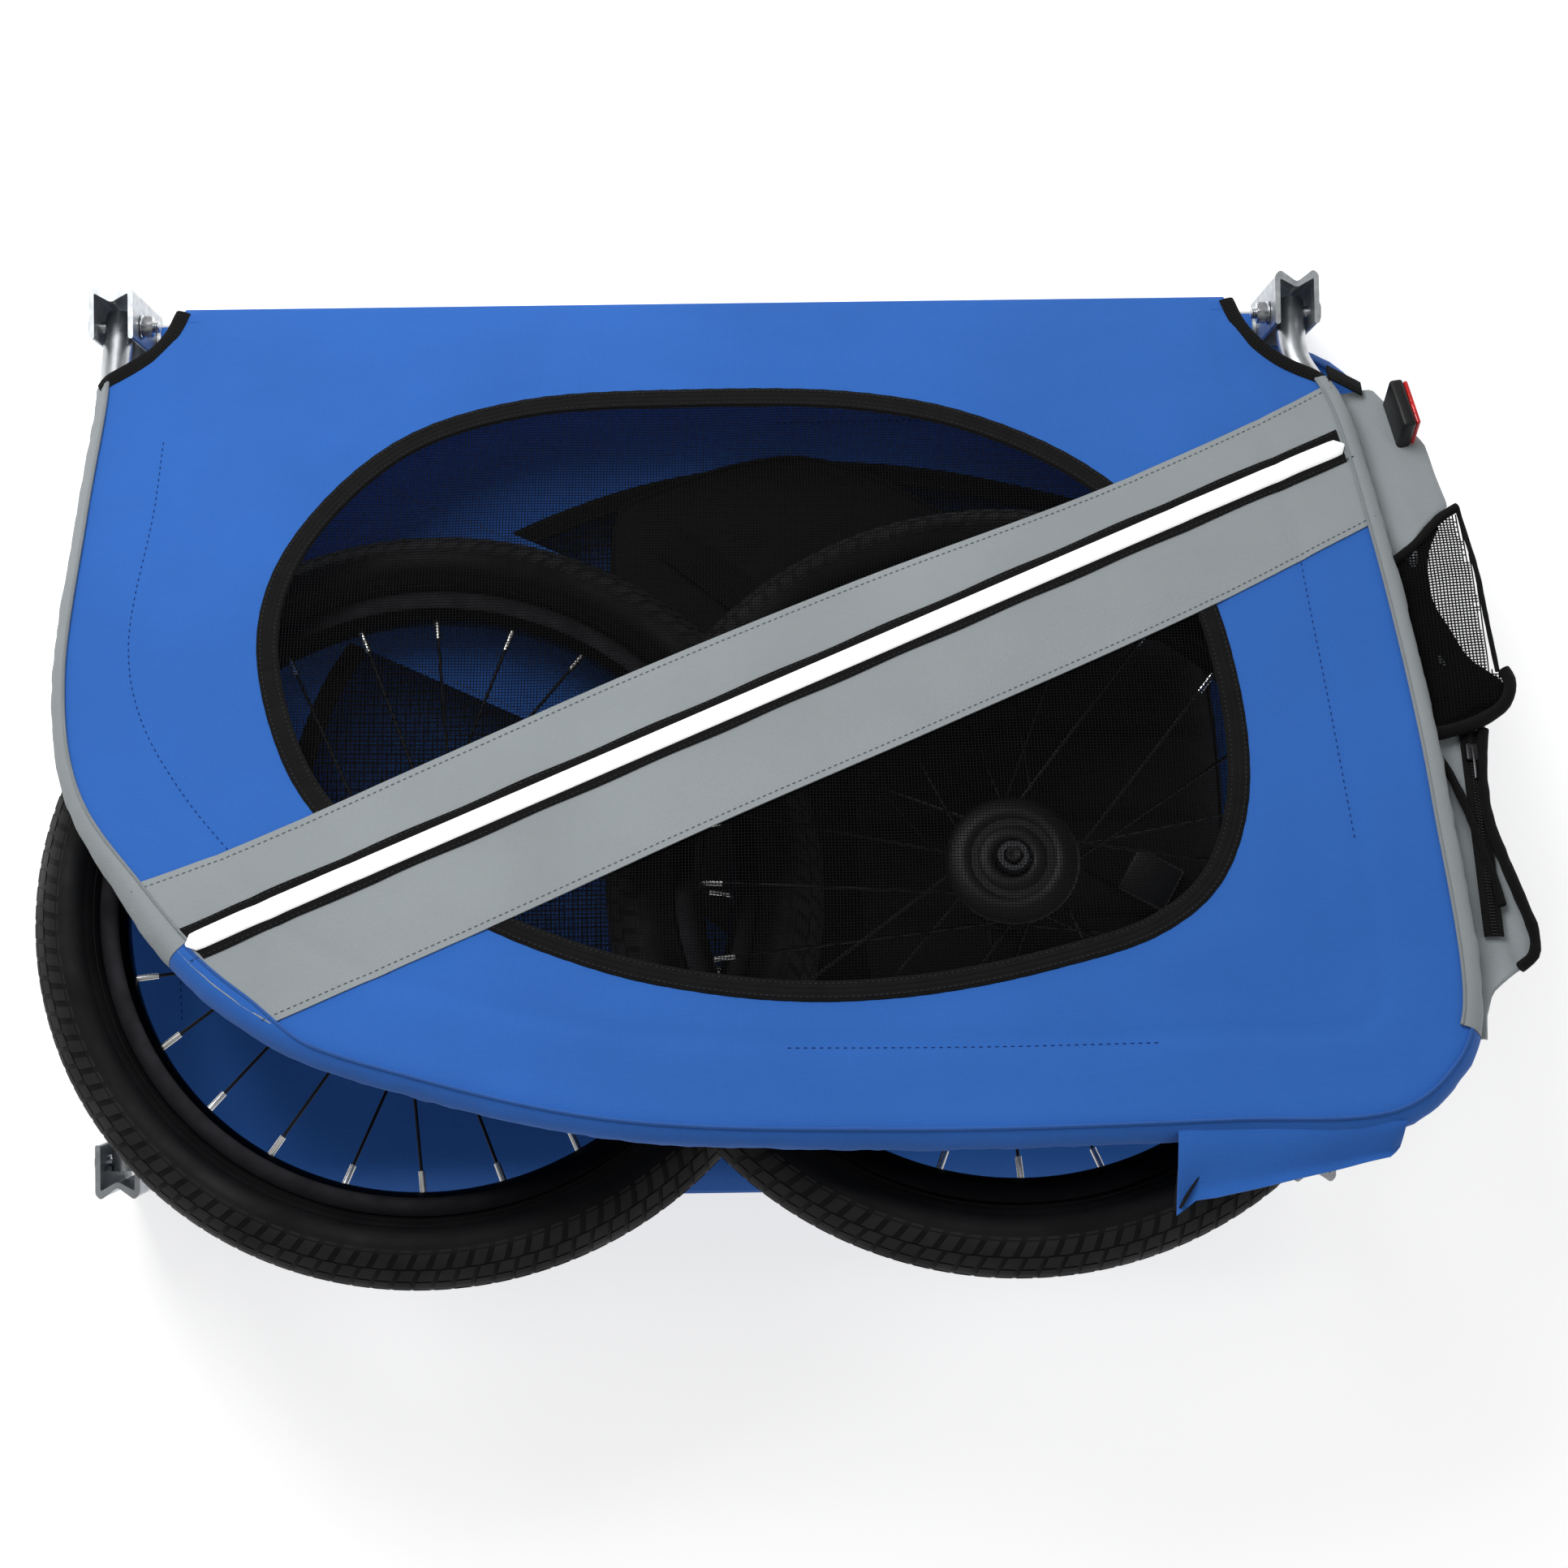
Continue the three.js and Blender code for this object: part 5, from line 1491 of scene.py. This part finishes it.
def rim(name, place, body):
    b, w = RIM_BED_R, RIM_HALF
    half = [(b, 5), (b + 1.2, 8), (b + 5, w - 0.4), (b + 7, w), (b + 15.4, w), (b + 16.8, w - 0.3),
            (b + 17.2, w - 1.2), (b + 16.8, w - 2.2), (b + 13, w - 2.4), (b + 9, w - 3), (b + 6.5, 4)]
    profile = [(r, -n) for r, n in half] + [(r, n) for r, n in reversed(half)]
    ring = turned(f"{name}_double_wall_rim", profile, place, 160)
    fit(ring, body, RIM_BLACK, "rim_black", f"{name}_rim", sharp=28)


def hub_cap(name, place, body):
    """A shallow dished disc with a raised ring and finger recesses."""
    h, top, r = HUB_HALF, HUB_HALF + CAP_T, CAP_R
    profile = [(HEAD_R + 0.6, h + 0.3), (r - 3, h + 0.3), (r - 0.5, h + 1.2), (r, h + 2.4), (r - 0.8, h + 4),
               (r - 3.5, h + 5.8), (r - 8, top - 0.4), (r - 10, top), (r - 14, top - 0.2),
               (r - 15.5, top - 1.3), (r - 20, top - 1.3), (r - 21.5, top - 0.2), (HEAD_R + 4, top),
               (HEAD_R + 1.4, top - 0.3), (HEAD_R + 0.6, top - 1)]
    disc = turned(f"{name}_cap_disc", profile, place, 96)
    fit(disc, body, PLASTIC, "cap_plastic", f"{name}_hub_cap", sharp=35)


def axle(name, place, axle_body, button_body):
    """Quick-release axle with a domed head, a lock groove near its end and the button in the head."""
    foot, top = -AXLE_DROP, HUB_HALF + HEAD_T
    r, b, out = AXLE_R, BUTTON_R, HUB_HALF + HEAD_T + BUTTON_OUT
    profile = [(0.01, foot), (r - 1.2, foot), (r, foot + 1.2), (r, foot + 9), (r - 1, foot + 10),
               (r - 1, foot + 13), (r, foot + 14), (r, HUB_HALF + 0.3), (HEAD_R - 0.6, HUB_HALF + 0.3),
               (HEAD_R, HUB_HALF + 1), (HEAD_R, top - 1.6), (HEAD_R - 1.6, top), (b + 0.9, top),
               (b + 0.3, top - 0.6), (b + 0.3, top - 12), (0.01, top - 12)]
    fit(turned(f"{name}_release_axle", profile, place, 48), axle_body, AXLE_STEEL, "axle_steel",
        f"{name}_axle", sharp=30)
    push = [(0.01, top - 7), (b, top - 7), (b, out - 0.9), (b - 0.5, out - 0.2), (b - 1.4, out),
            (b - 2.4, out - 0.3), (0.01, out - 0.5)]
    fit(turned(f"{name}_push_button", push, place, 32), button_body, PLASTIC, "cap_plastic",
        f"{name}_release_button", sharp=35)


def wheel(end):
    name, body = f"{end}_wheel", f"{end}_wheel"
    spin = next(j for j in frame["joints"] if j["name"] == f"{end}_wheel_spin")
    slope = math.atan2(spin["axis"][1], spin["axis"][2])
    place = tilted(spin["pos_m"], slope, 1)
    tyre = turned(f"{name}_tyre_carcass", tyre_profile(), place, 176, close=False)
    thicken(tyre, 2.2)
    fit(tyre, body, TYRE_RUBBER, "tyre_rubber", f"{name}_tyre", sharp=50)
    tread_blocks(name, place, body)
    rim(name, place, body)
    hub_shell(name, place, body)
    spokes(name, place, body)
    hub_cap(name, place, body)
    axle(name, place, f"{end}_axle", f"{end}_button")
    dress(f"{name}_inner_tube", TUBE_RUBBER)
    dress(f"{name}_inner_bearing", BEARING_STEEL)
    dress(f"{name}_outer_bearing", BEARING_STEEL)


wheel("front")
wheel("rear")


# ---- camera, floor and light ---------------------------------------------------------------------
def camera():
    data = bpy.data.cameras.new("Camera")
    data.lens, data.sensor_width, data.sensor_fit = 73.8, 36, "HORIZONTAL"
    data.clip_start, data.clip_end = 0.05, 50
    eye = bpy.data.objects.new("Camera", data)
    bpy.context.scene.collection.objects.link(eye)
    across, up = Vector((0.9999, -0.0140, 0)), Vector((0.0140, 0.9999, 0))
    look = (across * 0.0066 + up * 0.0301 + Vector((0, 0, -1))).normalized()
    side_way = look.cross(up).normalized()
    rise = side_way.cross(look)
    turn = Matrix((side_way, rise, -look)).transposed()
    eye.matrix_world = Matrix.Translation((-0.0023, -0.0733, 2.2)) @ turn.to_4x4()
    bpy.context.scene.camera = eye


def floor():
    material, tree, shader, place = new_finish("Pale studio floor", 0.9, Specular_IOR_Level=0.0,
                                               Emission_Strength=0.56, Emission_Color=(1, 1, 1, 1))
    mottle(tree, shader, place, 0.8, 0.99, 1.0, (0.93, 0.93, 0.93, 1))
    points = [(-6, -6, -0.0008), (6, -6, -0.0008), (6, 6, -0.0008), (-6, 6, -0.0008)]
    sheet = mesh_object("studio_floor", points, [(0, 1, 2, 3)])
    sheet.data.materials.append(material)


def lamp(name, power, size, spot, aim=(0, 0, 0.1)):
    data = bpy.data.lights.new(name, "AREA")
    data.energy, data.size = power, size
    item = bpy.data.objects.new(name, data)
    bpy.context.scene.collection.objects.link(item)
    item.location = spot
    item.rotation_euler = (Vector(aim) - Vector(spot)).to_track_quat("-Z", "Y").to_euler()


def lights():
    world = bpy.data.worlds.new("Studio")
    bpy.context.scene.world = world
    world.use_nodes = True
    world.node_tree.nodes["Background"].inputs[0].default_value = (1, 1, 1, 1)
    world.node_tree.nodes["Background"].inputs[1].default_value = 0.36
    lamp("key", 22, 1.0, (-0.5, 1.1, 1.4))
    lamp("fill", 5, 2.4, (1.6, -0.6, 2.6))
    bpy.context.scene.view_settings.view_transform = "Standard"


camera()
floor()
lights()
